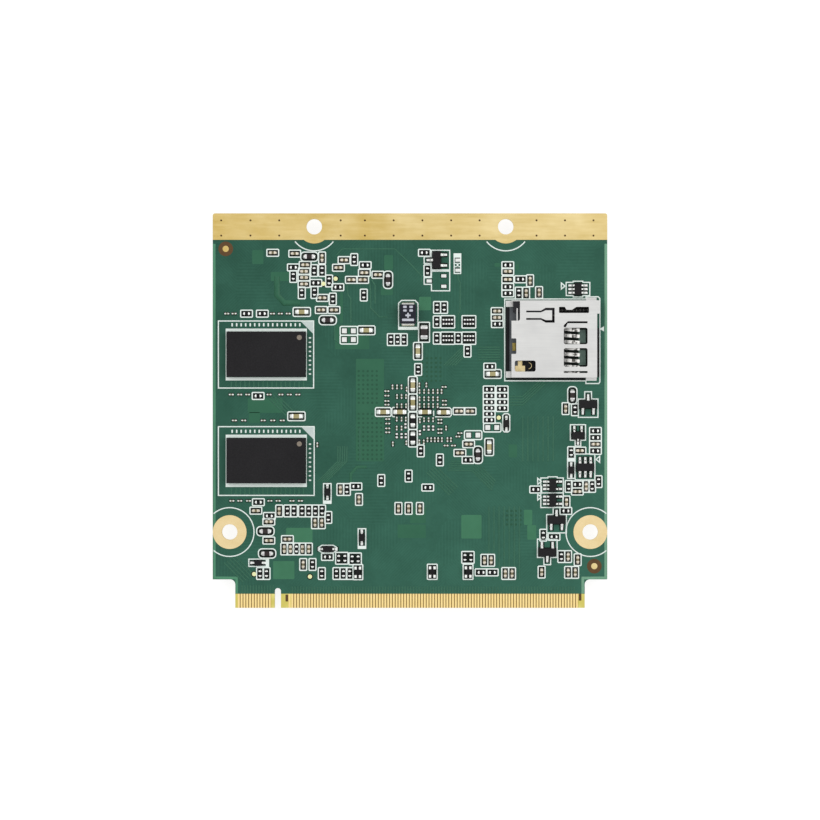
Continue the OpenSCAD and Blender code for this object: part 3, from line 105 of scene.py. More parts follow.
def new_material(name, colour, roughness, metallic=0.0, shine=0.5):
    """Start a material from its plain look; gives it, its tree, its shader and the place on the object."""
    material = bpy.data.materials.new(name)
    material.use_nodes = True
    shader = material.node_tree.nodes["Principled BSDF"]
    shader.inputs["Base Color"].default_value = linear(colour)
    shader.inputs["Roughness"].default_value = roughness
    shader.inputs["Metallic"].default_value = metallic
    shader.inputs["Specular IOR Level"].default_value = shine
    place = add_node(material.node_tree, "TexCoord").outputs["Object"]
    return material, material.node_tree, shader, place


def deselect():
    """Leave every object unselected, so that an operator acts on the new piece alone."""
    bpy.ops.object.select_all(action="DESELECT")


def seen_directly(tree):
    """1 for rays of the camera, of reflections and through glass, 0 for light that falls on the object."""
    path = add_node(tree, "LightPath")
    seen = add_node(tree, "Math", {"operation": "MAXIMUM"},
                    {0: path.outputs["Is Camera Ray"], 1: path.outputs["Is Glossy Ray"]})
    through = add_node(tree, "Math", {"operation": "MAXIMUM"},
                       {0: seen, 1: path.outputs["Is Transmission Ray"]})
    return through.outputs[0]


deselect()
room = bpy.data.worlds.new("white_room")
room.use_nodes = True
scene.world = room
tree = room.node_tree
background = tree.nodes["Background"]
background.inputs["Color"].default_value = linear("#ffffff")
level = add_node(tree, "MapRange", {}, {"Value": seen_directly(tree), "To Min": room_level})
tree.links.new(level.outputs["Result"], background.inputs["Strength"])

bpy.ops.mesh.primitive_plane_add(size=table_size, location=(0, 0, cad_low.z - table_drop))
table_top = bpy.context.object
table_top.name = "table_top"
# White table: it glows for the camera and in reflections, and still takes the board's soft shadow
table_white, tree, shader, _ = new_material("white_laminate_table", "#8c8c8a", 0.9, shine=0.1)
glow = add_node(tree, "MapRange", {}, {"Value": seen_directly(tree), "To Max": table_glow})
shader.inputs["Emission Color"].default_value = linear("#ffffff")
tree.links.new(glow.outputs["Result"], shader.inputs["Emission Strength"])
table_top.data.materials.append(table_white)

for name, spot, size, power in lamps:
    aim = Vector(spot).to_track_quat("Z", "Y").to_euler()
    bpy.ops.object.light_add(type="AREA", location=spot, rotation=aim)
    bpy.context.object.name = name
    bpy.context.object.data.size = size
    bpy.context.object.data.energy = power

bpy.ops.object.camera_add(location=(0, camera_shift_y, camera_z), rotation=(0, 0, 0))
camera = bpy.context.object
camera.data.lens = camera_lens
camera.data.sensor_width = 36
camera.data.clip_start = 0.01
scene.camera = camera


# Board: pressed layers of glass cloth and epoxy, routed to its outline, with a satin green solder mask on
# both faces. The tongue's end has no mask, and the routed sides show the yellow layers of glass.
face_z = 3.2
tongue_bare_y = -32.5
# Middle and half width of the two rows of fingers, between which the laminate lies in their shade
finger_rows = [(-27.6, 2.95), (4.4, 25.45)]
glass_layer = 0.17
weave_step = 0.45
# Painted light: how much lighter the mask grows from the upper left to the lower right, for each metre, as
# if lit more from the lower right
mask_painted_light_slope = 4.4
# Bundles of etched lines that show through the mask: size of a bundle and step from line to line
bundle_size = 6.5
line_step = 0.56
line_lift = 0.17


def scale_for(size):
    """Texture scale that gives a pattern this many millimetres from one feature to the next."""
    return 1000 / size


def coat(material, *names):
    """Give CAD nodes a material; their shapes stay as they are."""
    for name in names:
        nodes[name].data.materials.clear()
        nodes[name].data.materials.append(material)


# Photo-imaged epoxy mask: satin green, a little mottled over buried copper, the glass weave just showing
mask_green, tree, shader, place = new_material("green_solder_mask_on_glass_laminate", "#2b5a47", 0.42,
                                               shine=0.2)
axes = add_node(tree, "SeparateXYZ", {}, {0: place})
outward = add_node(tree, "NewGeometry").outputs["True Normal"]
facing = add_node(tree, "SeparateXYZ", {}, {0: outward})
mottle = add_node(tree, "TexNoise", {}, {"Vector": place, "Scale": scale_for(5), "Detail": 4})
grain = add_node(tree, "TexNoise", {}, {"Vector": place, "Scale": scale_for(0.5), "Detail": 2})
mixed = add_node(tree, "Math", {"operation": "MULTIPLY_ADD"}, {0: grain, 1: 0.35, 2: mottle})
# Painted light: a slope of tone across the panel makes the mask lighter towards the lower right
across_panel = add_node(tree, "Math", {"operation": "SUBTRACT"},
                        {0: axes.outputs["X"], 1: axes.outputs["Y"]})
mottle_with_painted_light = add_node(tree, "Math", {"operation": "MULTIPLY_ADD"}, {0: across_panel, 1: mask_painted_light_slope, 2: mixed})
# The bundles run along the board, across it or on either diagonal, and change from patch to patch
patch = add_node(tree, "TexVoronoi", {"distance": "CHEBYCHEV"},
                 {"Vector": place, "Scale": scale_for(bundle_size)})
pick = add_node(tree, "SeparateColor", {}, {0: patch.outputs["Color"]})
turn = add_node(tree, "Math", {"operation": "GREATER_THAN"}, {0: pick.outputs[0], 1: 0.5})
on_slant = add_node(tree, "Math", {"operation": "GREATER_THAN"}, {0: pick.outputs[1], 1: 0.5})
routed = add_node(tree, "Math", {"operation": "GREATER_THAN"}, {0: pick.outputs[2], 1: 0.3})
up_panel = add_node(tree, "Math", {"operation": "ADD"}, {0: axes.outputs["X"], 1: axes.outputs["Y"]})
square = add_node(tree, "Mix", {}, {0: turn, 2: axes.outputs["X"], 3: axes.outputs["Y"]})
slanted = add_node(tree, "Mix", {}, {0: turn, 2: across_panel, 3: up_panel})
along = add_node(tree, "Mix", {}, {0: on_slant, 2: square, 3: slanted})
phase = add_node(tree, "Math", {"operation": "MULTIPLY"}, {0: along, 1: 2 * math.pi * scale_for(line_step)})
wave = add_node(tree, "Math", {"operation": "SINE"}, {0: phase})
crown = add_node(tree, "MapRange", {},
                 {"Value": wave, "From Min": -0.6, "From Max": 0.8, "To Max": line_lift})
etched = add_node(tree, "Math", {"operation": "MULTIPLY_ADD"}, {0: crown, 1: routed, 2: mottle_with_painted_light})
tone = add_node(tree, "MapRange", {}, {"Value": etched, "From Min": 0.3, "From Max": 1.15})
green = add_node(tree, "Mix", {"data_type": "RGBA"}, {0: tone, 6: linear("#215040"), 7: linear("#346856")})
weave_x = add_node(tree, "TexWave", {"bands_direction": "X"},
                   {"Vector": place, "Scale": scale_for(weave_step) / 20, "Distortion": 0.4})
weave_y = add_node(tree, "TexWave", {"bands_direction": "Y"},
                   {"Vector": place, "Scale": scale_for(weave_step) / 20, "Distortion": 0.4})
weave = add_node(tree, "Math", {"operation": "MULTIPLY"},
                 {0: weave_x.outputs["Fac"], 1: weave_y.outputs["Fac"]})
bare = add_node(tree, "Mix", {"data_type": "RGBA"}, {0: weave, 6: linear("#d9cc69"), 7: linear("#ebe085")})
between = add_node(tree, "Math", {"operation": "COMPARE"},
                   {0: axes.outputs["X"], 1: finger_rows[0][0] / 1000, 2: finger_rows[0][1] / 1000})
between_right = add_node(tree, "Math", {"operation": "COMPARE"},
                         {0: axes.outputs["X"], 1: finger_rows[1][0] / 1000, 2: finger_rows[1][1] / 1000})
in_rows = add_node(tree, "Math", {"operation": "MAXIMUM"}, {0: between, 1: between_right})
# Painted shade and painted reflection: the laminate between the fingers is darker and browner, shaded by
# them and warmed by their gold
bare = add_node(tree, "Mix", {"data_type": "RGBA"}, {0: in_rows, 6: bare.outputs[2], 7: linear("#7d5f2a")})
on_tongue = add_node(tree, "Math", {"operation": "LESS_THAN"},
                     {0: axes.outputs["Y"], 1: tongue_bare_y / 1000})
flat_face = add_node(tree, "Mix", {"data_type": "RGBA"},
                     {0: on_tongue, 6: green.outputs[2], 7: bare.outputs[2]})
layers = add_node(tree, "TexWave", {"bands_direction": "Z"},
                  {"Vector": place, "Scale": scale_for(glass_layer) / 20, "Distortion": 0.6})
glass = add_node(tree, "Mix", {"data_type": "RGBA"},
                 {0: layers.outputs["Fac"], 6: linear("#8d8246"), 7: linear("#c0b476")})
upright = add_node(tree, "Math", {"operation": "ABSOLUTE"}, {0: facing.outputs["Z"]})
is_flat = add_node(tree, "Math", {"operation": "GREATER_THAN"}, {0: upright, 1: 0.5})
skin = add_node(tree, "Mix", {"data_type": "RGBA"},
                {0: is_flat, 6: glass.outputs[2], 7: flat_face.outputs[2]})
tree.links.new(skin.outputs[2], shader.inputs["Base Color"])
satin = add_node(tree, "MapRange", {}, {"Value": grain, "To Min": 0.36, "To Max": 0.5})
tree.links.new(satin.outputs["Result"], shader.inputs["Roughness"])
relief = add_node(tree, "Bump", {}, {"Strength": 0.15, "Distance": 0.00002, "Height": weave})
tree.links.new(relief.outputs["Normal"], shader.inputs["Normal"])
coat(mask_green, "circuit_board")


# Copper under the mask: etched lines and pours of the outer layer, 0.01 to 0.02 mm high. They read as a
# lighter green than the mask that lies on bare laminate.
trace_w = 0.25
trace_h = 0.02
pour_h = 0.012
pour_corner = 0.2
via_d = 0.42
via_h = 0.018
single_traces = [
    [(-13, 27.6), (-12, 28.7), (-2.7, 28.7), (0, 26.1), (2, 24), (2, 22.8)],
    [(-11.2, 22.2), (-11, 20.5), (-10.5, 19.9), (-10.5, 15.4)],
    [(-7.2, 22.8), (-7, 21), (-7, 18.2), (-5.4, 16.6), (-4, 16.6)],
    [(-6.8, 23.2), (-6.2, 22.3), (-6.2, 19)],
    [(-13.4, 15), (-13.4, 12.6), (-12.4, 11.8)],
    [(8.5, 24.2), (8.5, 23.3), (8.9, 22.7), (8.9, 17.6), (8.6, 17.2), (8.6, 14.5)],
    [(-8.9, -3), (-8.9, -9)],
]
# Bundles of side-by-side lines: the first line, the step to the next, and how many there are
bundles = [
    ([(-12.8, -6.3), (-12.8, -9), (-16.4, -12.6)], (0.4, 0), 5),
    ([(-31.7, 5.2), (-31.7, 4.1)], (0.8, 0), 17),
    ([(-31.7, -13.7), (-31.7, -15)], (0.8, 0), 17),
    ([(-25.5, 2.6), (-22, -0.9)], (0.5, 0.2), 4),
    ([(3, -11), (7, -15)], (0.35, 0.35), 5),
    ([(6.6, -10.6), (11, -10.6), (14.5, -14.1)], (0.166, 0.4), 5),
    ([(6, 8), (9, 11)], (0.5, 0), 5),
    ([(12, 9), (16, 9)], (0, 0.45), 6),
    ([(14, -17), (14, -30)], (0.9, 0), 7),
    ([(20, -1), (20, -9)], (0.9, 0), 7),
    ([(17, 1), (20, 1), (24, 4.8)], (0, 0.5), 4),
    ([(-33, -27), (-29.6, -30.4)], (0.5, 0.3), 5),
    ([(-29.8, -31), (-29.8, -32.4)], (0.5, 0), 12),
    ([(-20.9, -31.2), (-20.9, -32.4)], (0.5, 0), 101),
]
feeder_w = 1.0
supply_line_w = 0.5
supply_line = [(-7.7, -10), (-9.4, -10), (-10.5, -11.2), (-10.5, -12.9)]
feeder = [(-23.6, 23.8), (-23.6, 20.5), (-22.3, 19.1), (-19.5, 19.1)]
# Pours: left, right, bottom and top
pours = [
    (-28, -26, 26, 28.5), (-12.4, -11.9, 15.5, 21), (-4.6, -3, 25, 27.6), (-5.2, -3, 20.5, 22),
    (15, 16, 25.5, 26.2), (18.8, 19.3, 25, 26), (-9.6, -4.6, -9, 9.2), (17.5, 19, -8.3, -6),
    (0, 2.8, -20, -17), (-24.7, -21, 23, 24.6), (-13.3, -7.2, 10.9, 15.2), (-28.8, -22.6, -0.4, 2.2),
    (-28.6, -26.6, -2.2, -0.3), (-2.2, 2.8, -22.6, -20.2),
]
bright_pours = [
    (-22, -17.3, -23.5, -20.8), (-24.3, -20.5, -29.9, -26.7), (9.1, 12.7, -22.7, -18.5),
    (1.6, 3.75, 17.8, 20.2), (20.2, 21.7, -20.3, -17.6), (20.8, 22.4, -22.9, -20.31),
]
# Fields of vias: first column and row, columns and rows
via_fields = [(-9.1, -8.6, 6, 11), (-9.1, 1.4, 5, 8), (2.2, 5.3, 5, 6), (17.2, -20.2, 4, 4)]
via_pitch = 0.8
# Bare margin that the inner copper keeps from the routed edge, along both sides and the notches
margin_w = 0.5
margin_h = 0.008
margins = [
    [(-34.75, 29.6), (-34.75, -29.7), (-30.75, -29.7), (-30.75, -32.45)],
    [(34.75, 29.6), (34.75, -29.7), (30.65, -29.7), (30.65, -32.45)],
]


def moved(piece, x, y, z=0):
    """Move a piece's mesh, and hand the piece on."""
    piece.data.transform(Matrix.Translation((x, y, z)))
    return piece


def ribbons(paths, width, height, base):
    """Flat lines of one width along given corner points, swept with a box section and made one mesh."""
    section = bpy.data.curves.new("section", "CURVE")
    corners = section.splines.new("POLY")
    corners.points.add(3)
    corners.use_cyclic_u = True
    for point, place in zip(corners.points, ((-0.5, 0), (0.5, 0), (0.5, 1), (-0.5, 1))):
        point.co = (place[0] * width, place[1] * height, 0, 1)
    section_object = bpy.data.objects.new("section", section)
    scene.collection.objects.link(section_object)
    lines = bpy.data.curves.new("lines", "CURVE")
    lines.dimensions = "2D"
    lines.fill_mode = "NONE"
    lines.bevel_mode = "OBJECT"
    lines.bevel_object = section_object
    lines.use_fill_caps = True
    for points in paths:
        closed = points[0] == points[-1]
        points = points[:-1] if closed else points
        spline = lines.splines.new("POLY")
        spline.points.add(len(points) - 1)
        spline.use_cyclic_u = closed
        for point, place in zip(spline.points, points):
            point.co = (place[0], place[1], 0, 1)
    piece = bpy.data.objects.new("lines", lines)
    scene.collection.objects.link(piece)
    deselect()
    piece.select_set(True)
    bpy.context.view_layer.objects.active = piece
    bpy.ops.object.convert(target="MESH")
    piece = bpy.context.object
    bpy.ops.object.mode_set(mode="EDIT")
    bpy.ops.mesh.select_all(action="SELECT")
    bpy.ops.mesh.normals_make_consistent(inside=False)
    bpy.ops.object.mode_set(mode="OBJECT")
    bpy.data.objects.remove(section_object)
    return moved(piece, 0, 0, base)


def thickened(piece, height, base):
    """Give a flat piece its height and set it on its base."""
    bpy.ops.object.mode_set(mode="EDIT")
    bpy.ops.mesh.select_all(action="SELECT")
    bpy.ops.mesh.extrude_region_move(TRANSFORM_OT_translate={"value": (0, 0, height)})
    bpy.ops.mesh.select_all(action="SELECT")
    bpy.ops.mesh.normals_make_consistent(inside=False)
    bpy.ops.object.mode_set(mode="OBJECT")
    return moved(piece, 0, 0, base)


def plate(width, length, height, base, corner=0.0, line=0.0, steps=3):
    """A thin flat piece at the origin with rounded corners; a line width makes it a frame of that line."""
    deselect()
    bpy.ops.mesh.primitive_plane_add(size=1)
    piece = bpy.context.object
    piece.data.transform(Matrix.Diagonal((width, length, 1, 1)))
    bpy.ops.object.mode_set(mode="EDIT")
    bpy.ops.mesh.select_all(action="SELECT")
    if corner:
        bpy.ops.mesh.bevel(offset=corner, segments=steps, affect="VERTICES")
    bpy.ops.mesh.select_all(action="SELECT")
    if line:
        bpy.ops.mesh.inset(thickness=line)
        bpy.ops.mesh.delete(type="FACE")
    bpy.ops.object.mode_set(mode="OBJECT")
    return thickened(piece, height, base)


def disc(diameter, height, base, sides=12):
    """A thin round piece at the origin."""
    deselect()
    bpy.ops.mesh.primitive_circle_add(vertices=sides, radius=diameter / 2, fill_type="NGON")
    return thickened(bpy.context.object, height, base)


def join(pieces):
    """Make several pieces one object."""
    deselect()
    for piece in pieces:
        piece.select_set(True)
    bpy.context.view_layer.objects.active = pieces[0]
    bpy.ops.object.join()
    return bpy.context.object


def copies(piece, places):
    """Copy a piece to each place (x, y and turn in degrees), each copy with its own mesh, and join them."""
    made = []
    for x, y, turn in places:
        copy = piece.copy()
        copy.data = piece.data.copy()
        copy.data.transform(Matrix.Translation((x, y, 0)) @ Matrix.Rotation(math.radians(turn), 4, "Z"))
        scene.collection.objects.link(copy)
        made.append(copy)
    bpy.data.objects.remove(piece)
    return join(made)


def slabs(boxes, height, corner=0.0):
    """Flat pieces on the board's face from their left, right, low and high sides, made one object."""
    made = []
    for left, right, low, high in boxes:
        slab = plate(right - left, high - low, height, face_z, corner=corner)
        made.append(moved(slab, (left + right) / 2, (low + high) / 2))
    return join(made)


def settle(piece, name, material):
    """Turn a finished piece to metres, name and paint it, and let it ride on the module."""
    piece.data.transform(Matrix.Scale(0.001, 4))
    piece.name = name
    piece.data.name = name
    piece.data.materials.clear()
    piece.data.materials.append(material)
    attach(piece, "module")
    return piece


def two_tones(tree, place, dark, pale, patch, detail):
    """Clouds in patches of this many millimetres, and the colour that they give between two tones."""
    cloud = add_node(tree, "TexNoise", {}, {"Vector": place, "Scale": scale_for(patch), "Detail": detail})
    tone = add_node(tree, "Mix", {"data_type": "RGBA"}, {0: cloud, 6: linear(dark), 7: linear(pale)})
    return cloud, tone.outputs[2]


def mottled(name, plain, dark, pale, patch, detail, roughness, metallic=0.0, shine=0.5):
    """A material whose colour wanders between two tones; viewers without nodes show its plain colour."""
    material, tree, shader, place = new_material(name, plain, roughness, metallic, shine)
    _, colour = two_tones(tree, place, dark, pale, patch, detail)
    tree.links.new(colour, shader.inputs["Base Color"])
    return material


# Mask over copper: the same satin green, lighter because the copper throws light back through it
pour_green = mottled("green_solder_mask_on_copper", "#30654c", "#295d46", "#366d52",
                     patch=3, detail=4, roughness=0.4, shine=0.2)
# Mask over thick copper near the board's middle layers: lighter still
bright_green = mottled("green_solder_mask_on_thick_copper", "#417558", "#376e50", "#468162",
                       patch=3, detail=4, roughness=0.4, shine=0.2)
# Mask over single lines: the same green, a little lighter at the line's crown
trace_green = mottled("green_solder_mask_on_etched_lines", "#366a54", "#2b5d49", "#40735c",
                      patch=4, detail=3, roughness=0.4, shine=0.2)
# Mask over a filled via: painted shade of a shallow dimple, so it is darker than the pour round it
via_painted_shade_green = mottled("green_solder_mask_in_vias_painted_shade", "#25543f", "#214d39", "#2b5c45",
                    patch=1, detail=2, roughness=0.45, shine=0.2)
# Mask over the bare margin: thin laminate lets light through here, so it is the brightest green
margin_green, tree, shader, place = new_material("green_solder_mask_on_bare_margin", "#4f8c6c", 0.4,
                                                 shine=0.2)
_, green = two_tones(tree, place, "#488365", "#569573", patch=4, detail=3)
axes = add_node(tree, "SeparateXYZ", {}, {0: place})
right_side = add_node(tree, "Math", {"operation": "GREATER_THAN"}, {0: axes.outputs["X"], 1: 0})
pale = add_node(tree, "Math", {"operation": "MULTIPLY"}, {0: right_side, 1: 0.35})
margin = add_node(tree, "Mix", {"data_type": "RGBA"}, {0: pale, 6: green, 7: linear("#a4ccb2")})
tree.links.new(margin.outputs[2], shader.inputs["Base Color"])

lines = list(single_traces)
for first, step, count in bundles:
    for i in range(count):
        lines.append([(x + step[0] * i, y + step[1] * i) for x, y in first])
settle(ribbons(lines, trace_w, trace_h, face_z), "etched_lines", trace_green)
wide_lines = join([ribbons([feeder], feeder_w, trace_h, face_z),
                   ribbons([supply_line], supply_line_w, trace_h, face_z)])
settle(wide_lines, "feeder_lines", pour_green)
settle(slabs(pours, pour_h, pour_corner), "copper_pours", pour_green)
settle(slabs(bright_pours, pour_h, pour_corner), "thick_pours", bright_green)
spots = [(x + via_pitch * i, y + via_pitch * j, 0) for x, y, across, up in via_fields
         for i in range(across) for j in range(up)]
settle(copies(disc(via_d, via_h, face_z, sides=10), spots), "filled_vias", via_painted_shade_green)
settle(ribbons(margins, margin_w, margin_h, face_z), "bare_margins", margin_green)


# Plating: thin gold over nickel on the strip, hole lands, connector fingers, fiducials and test pads. The
# four screw holes have plated barrels, and the strip is stitched by small vias.
copper_h = 0.05
hole_r = 1.4
board_low = 2.0
hole_places = [(-17, 32.65, 0), (17, 32.65, 0), (-32, -21.55, 0), (32, -21.55, 0)]
strip_via_x = [-33.5, -28.3, -23.2, -12.3, -8.0, -2.9, 2.2, 7.3, 12.35, 22.45, 27.5, 32.55]
strip_via_y = [33.75, 31.05]
strip_via_d = 0.36
strip_via_h = 0.006
barrel_wall = 0.015
opening_top = 0.012
fiducial_opening_d = 2.6
fiducial_places = [(-32.7, 28.7, 0), (32.7, -27.6, 0)]
# Openings at the ends of the finger rows: width and length
end_opening = (0.48, 1.25)
end_opening_places = [(-21.85, -33.25, 0), (30.18, -33.1, 0)]
# Painted light: how much paler the gold grows from left to right, for each metre, as if lit more from the
# right
gold_painted_light_slope = 5.0

# Immersion gold: a pale satin yellow metal with slow cloudy changes of tone and fine scuffs along the strip
gold, tree, shader, place = new_material("immersion_gold_plating", "#dcc583", 0.38, 1.0)
cloud = add_node(tree, "TexNoise", {}, {"Vector": place, "Scale": scale_for(7), "Detail": 4})
long_axis = add_node(tree, "Mapping", {}, {"Vector": place, "Scale": (0.12, 1, 1)})
scuff = add_node(tree, "TexNoise", {}, {"Vector": long_axis, "Scale": scale_for(0.5), "Detail": 3})
tone = add_node(tree, "Math", {"operation": "MULTIPLY_ADD"}, {0: scuff, 1: 0.45, 2: cloud})
axes = add_node(tree, "SeparateXYZ", {}, {0: place})
# Painted light: the gold is painted paler towards the right
paler = add_node(tree, "Math", {"operation": "MULTIPLY_ADD"},
                 {0: axes.outputs["X"], 1: gold_painted_light_slope, 2: tone})
shade = add_node(tree, "MapRange", {}, {"Value": paler, "From Min": 0.4, "From Max": 1.1})
yellow = add_node(tree, "Mix", {"data_type": "RGBA"},
                  {0: shade, 6: linear("#c4a960"), 7: linear("#e0cd98")})
tree.links.new(yellow.outputs[2], shader.inputs["Base Color"])
polish = add_node(tree, "MapRange", {}, {"Value": scuff, "To Min": 0.3, "To Max": 0.5})
tree.links.new(polish.outputs["Result"], shader.inputs["Roughness"])
coat(gold, "plated_strip", "fiducials")

# Gold of the screw lands: the same plating, paler where screw heads rub it
land_gold = mottled("immersion_gold_on_lands", "#e0ca99", "#d9c08a", "#e7d4a8",
                    patch=1.5, detail=4, roughness=0.4, metallic=1.0)
coat(land_gold, "hole_lands", "lower_face_lands")

# Hard gold on the fingers: brighter and smoother, with fine rub marks along the way the card slides in
finger_gold, tree, shader, place = new_material("hard_gold_plating", "#f3d384", 0.28, 1.0)
long_axis = add_node(tree, "Mapping", {}, {"Vector": place, "Scale": (1, 0.1, 1)})
_, yellow = two_tones(tree, long_axis, "#f1cd7a", "#fce9ae", patch=0.12, detail=2)
tree.links.new(yellow, shader.inputs["Base Color"])
coat(finger_gold, "edge_contacts", "lower_face_contacts")

# Test pads: the same gold under a film of flux, which turns it a pale yellow-green
pad_gold = mottled("gold_plating_with_flux", "#e9e3a0", "#d8da92", "#f4f5cc",
                   patch=0.6, detail=2, roughness=0.35, metallic=0.8)
coat(pad_gold, "test_pads")

# Openings in the mask: bare brown laminate round the fiducials and at the ends of the finger rows
bare_brown = mottled("bare_brown_laminate", "#523d2a", "#503a22", "#6c4f31",
                     patch=0.7, detail=3, roughness=0.6, shine=0.2)
openings = [
    copies(disc(fiducial_opening_d, opening_top, face_z, sides=40), fiducial_places),
    copies(plate(*end_opening, opening_top, face_z, corner=0.1), end_opening_places),
]
settle(join(openings), "mask_openings", bare_brown)

# Drilled middles of the strip's vias: copper with painted shade, dark as if at the bottom of a narrow hole
via_hole_painted_shade = mottled("drilled_via_copper_painted_shade", "#4a3212", "#3f2a0e", "#5e421c",
                     patch=0.2, detail=2, roughness=0.5, shine=0.2)
stitches = [(x, y, 0) for x in strip_via_x for y in strip_via_y]
strip_vias = copies(disc(strip_via_d, strip_via_h, face_z + copper_h), stitches)
settle(strip_vias, "strip_vias", via_hole_painted_shade)

deselect()
bpy.ops.mesh.primitive_cylinder_add(vertices=48, radius=hole_r, depth=face_z - board_low,
                                    end_fill_type="NOTHING", location=(0, 0, (face_z + board_low) / 2))
barrel = bpy.context.object
bpy.ops.object.transform_apply(location=True, rotation=False, scale=False)
wall = barrel.modifiers.new("wall", "SOLIDIFY")
wall.thickness = barrel_wall
wall.offset = -1
bpy.ops.object.modifier_apply(modifier="wall")
bpy.ops.object.shade_smooth_by_angle(angle=math.radians(40))
settle(copies(barrel, hole_places), "hole_barrels", gold)


# Legend: white epoxy ink printed on the mask. Every part has its outline, diodes and the large capacitor
# have a bar at one end, the memories have a grid of marks, and the screw holes have a ring for the head.
ink_h = 0.025
ink_step = 0.0015
area_h = 0.02
ink_line = 0.21
outline_w = 0.205
# Ring round each screw hole: radius and the angles between which it is printed
hole_arcs = [(4.31, 218, 322), (4.31, 218, 322), (4.33, 131, -131), (4.33, 49, 311)]
small_frame = (2.3, 1.44)
large_frame = (3.3, 1.78)
row_frame = (3.0, 1.78)
row_y = -0.27
bead_frame = (3.3, 1.86)
pair_frame = (2.4, 2.3)
supply_frame = (3.75, 2.15)
array_frame = (2.65, 2.4)
choke_frame = (2.9, 1.95)
bare_large_places = [(-10.85, 14.15, 0), (-10.85, 12.6, 0), (11.2, -4.35, 0), (14.6, -3, 0)]
pair_places = [(-12.1, -26.2), (-9.73, -26.3), (10.28, -26.04)]
transistor_outline = [(-1.75, -2.3), (1.75, -2.3), (1.75, 0.95), (0.6, 0.95), (0.6, 2.25), (-0.6, 2.25),
                      (-0.6, 0.95), (-1.75, 0.95), (-1.75, -2.3)]
transistor_places = [(4.75, 26.7, 90), (4.75, 23.0, 90), (31.6, 1.1, 0), (26.0, -19.4, 0),
                     (24.35, -25.1, 180)]
small_transistor_outline = [(-1.35, -1.9), (1.35, -1.9), (1.35, 0.85), (0.5, 0.85), (0.5, 1.9), (-0.5, 1.9),
                            (-0.5, 0.85), (-1.35, 0.85), (-1.35, -1.9)]
small_transistor_places = [(29.8, -4.4, 180)]
other_outlines = [
    [(27.7, 22.75), (28.95, 22.75), (28.95, 22.95), (30.65, 22.95), (30.65, 22.75), (31.9, 22.75),
     (31.9, 20.4), (30.65, 20.4), (30.65, 20.15), (28.95, 20.15), (28.95, 20.4), (27.7, 20.4),
     (27.7, 22.75)],
    [(23.2, -11.95), (24.5, -11.95), (24.5, -11.75), (26.1, -11.75), (26.1, -11.95), (27.2, -11.95),
     (27.2, -14.6), (23.2, -14.6), (23.2, -11.95)],
    [(16.75, -0.55), (17.4, -0.55), (17.7, -0.85), (17.7, -3.5), (17.4, -3.8), (16.75, -3.8), (16.45, -3.5),
     (16.45, -0.85), (16.75, -0.55)],
    [(-16.25, -24.3), (-15.6, -23.9), (-13.6, -23.9), (-12.95, -24.3), (-12.95, -24.8), (-13.6, -25.2),
     (-15.6, -25.2), (-16.25, -24.8), (-16.25, -24.3)],
    [(-2.02, 14.5), (-2.02, 19.05), (-1.5, 19.55), (0.9, 19.55), (1.4, 19.05), (1.4, 14.5), (-2.02, 14.5)],
    [(16.8, 19.8), (31.2, 19.8), (31.2, 20.2), (33.4, 20.2), (33.68, 19.9), (33.68, 5.1), (33.5, 4.8),
     (31.2, 4.8), (31.2, 5.28), (16.8, 5.28), (16.8, 19.8)],
]
# Filled bars: left, right, bottom and top
bars = [
    (-15.4, -13.95, -16.55, -15.95), (27.9, 29.3, -9.05, -8.4), (-9.25, -7.8, -24.55, -24.0),
    (-25.6, -25.0, -27.75, -26.25), (7.74, 9.1, 27.15, 27.9), (-2.1, 1.45, 14.33, 14.87),
    (-32.7, -18.3, 14.05, 14.55), (-32.7, -18.3, 5.35, 5.92), (-32.7, -18.3, -4.8, -4.27),
    (-32.7, -18.3, -13.55, -12.9), (7.9, 8.95, 26.04, 26.2), (7.9, 8.95, 25.46, 25.62),
    (8.28, 8.6, 25.5, 26.1),
]
# Outlines that leave room for the tiny chips beside them
broken_outlines = [
    [(-2.7, 0.56), (-3.0, 0.56), (-3.22, 0.34), (-3.22, -0.86), (-3.0, -1.08), (-2.7, -1.08)],
    [(1.3, -1.1), (2.15, -1.1)], [(4.2, 0), (4.2, -0.95)],
    [(5.25, 0.5), (7.05, 0.5), (7.35, 0.2), (7.35, -0.8), (7.05, -1.1), (4.45, -1.1)],
]
# Rectangles round the memories, chips and diodes: left, right, bottom and top
printed_boxes = [
    (-34.0, -17.1, 4.0, 15.9), (-34.0, -17.0, -15.05, -2.85), (29.3, 32.8, -12.3, -7.7),
    (23.2, 27.2, -17.2, -14.6), (-15.35, -14.0, -16.4, -12.95), (27.95, 29.25, -12.05, -8.5),
    (-9.2, -7.85, -24.4, -20.95), (-28.6, -25.1, -27.65, -26.35), (7.83, 9.0, 24.33, 27.8),
]
memory_side_lines = [[(-32.62, 5.6), (-32.62, 14.3)], [(-18.38, 5.6), (-18.38, 14.3)],
                     [(-32.62, -13.2), (-32.62, -4.5)], [(-18.38, -13.2), (-18.38, -4.5)]]
memory_side_w = 0.14
# Marks of the ball grid: middles of the two rows and their first mark, top and bottom of the two columns
memory_mark_rows = [15.225, -3.675]
memory_mark_start = -31.55
memory_mark_step = 0.8
memory_mark_columns = [(12.9, 6.5), (-5.95, -12.35)]
memory_column_x = -17.75
row_tick = (0.26, 0.58)
column_tick = (0.42, 0.26)
tick_corner = 0.08
corner_mark_side = 2.45
corner_mark_places = [(-18.3, 14.75, 0), (-18.2, -4.0, 0)]
pin_marks = [(34.15, 14.5, 90)]
pin_triangle_d = 1.04
pin_triangle = [(-0.35, -0.55), (0.3, 0), (-0.35, 0.55), (-0.35, -0.55)]
open_pin_marks = [(23.0, -12.55, 0), (23.0, -15.35, 0), (33.3, -8.65, 180), (27.2, 22.1, 0)]


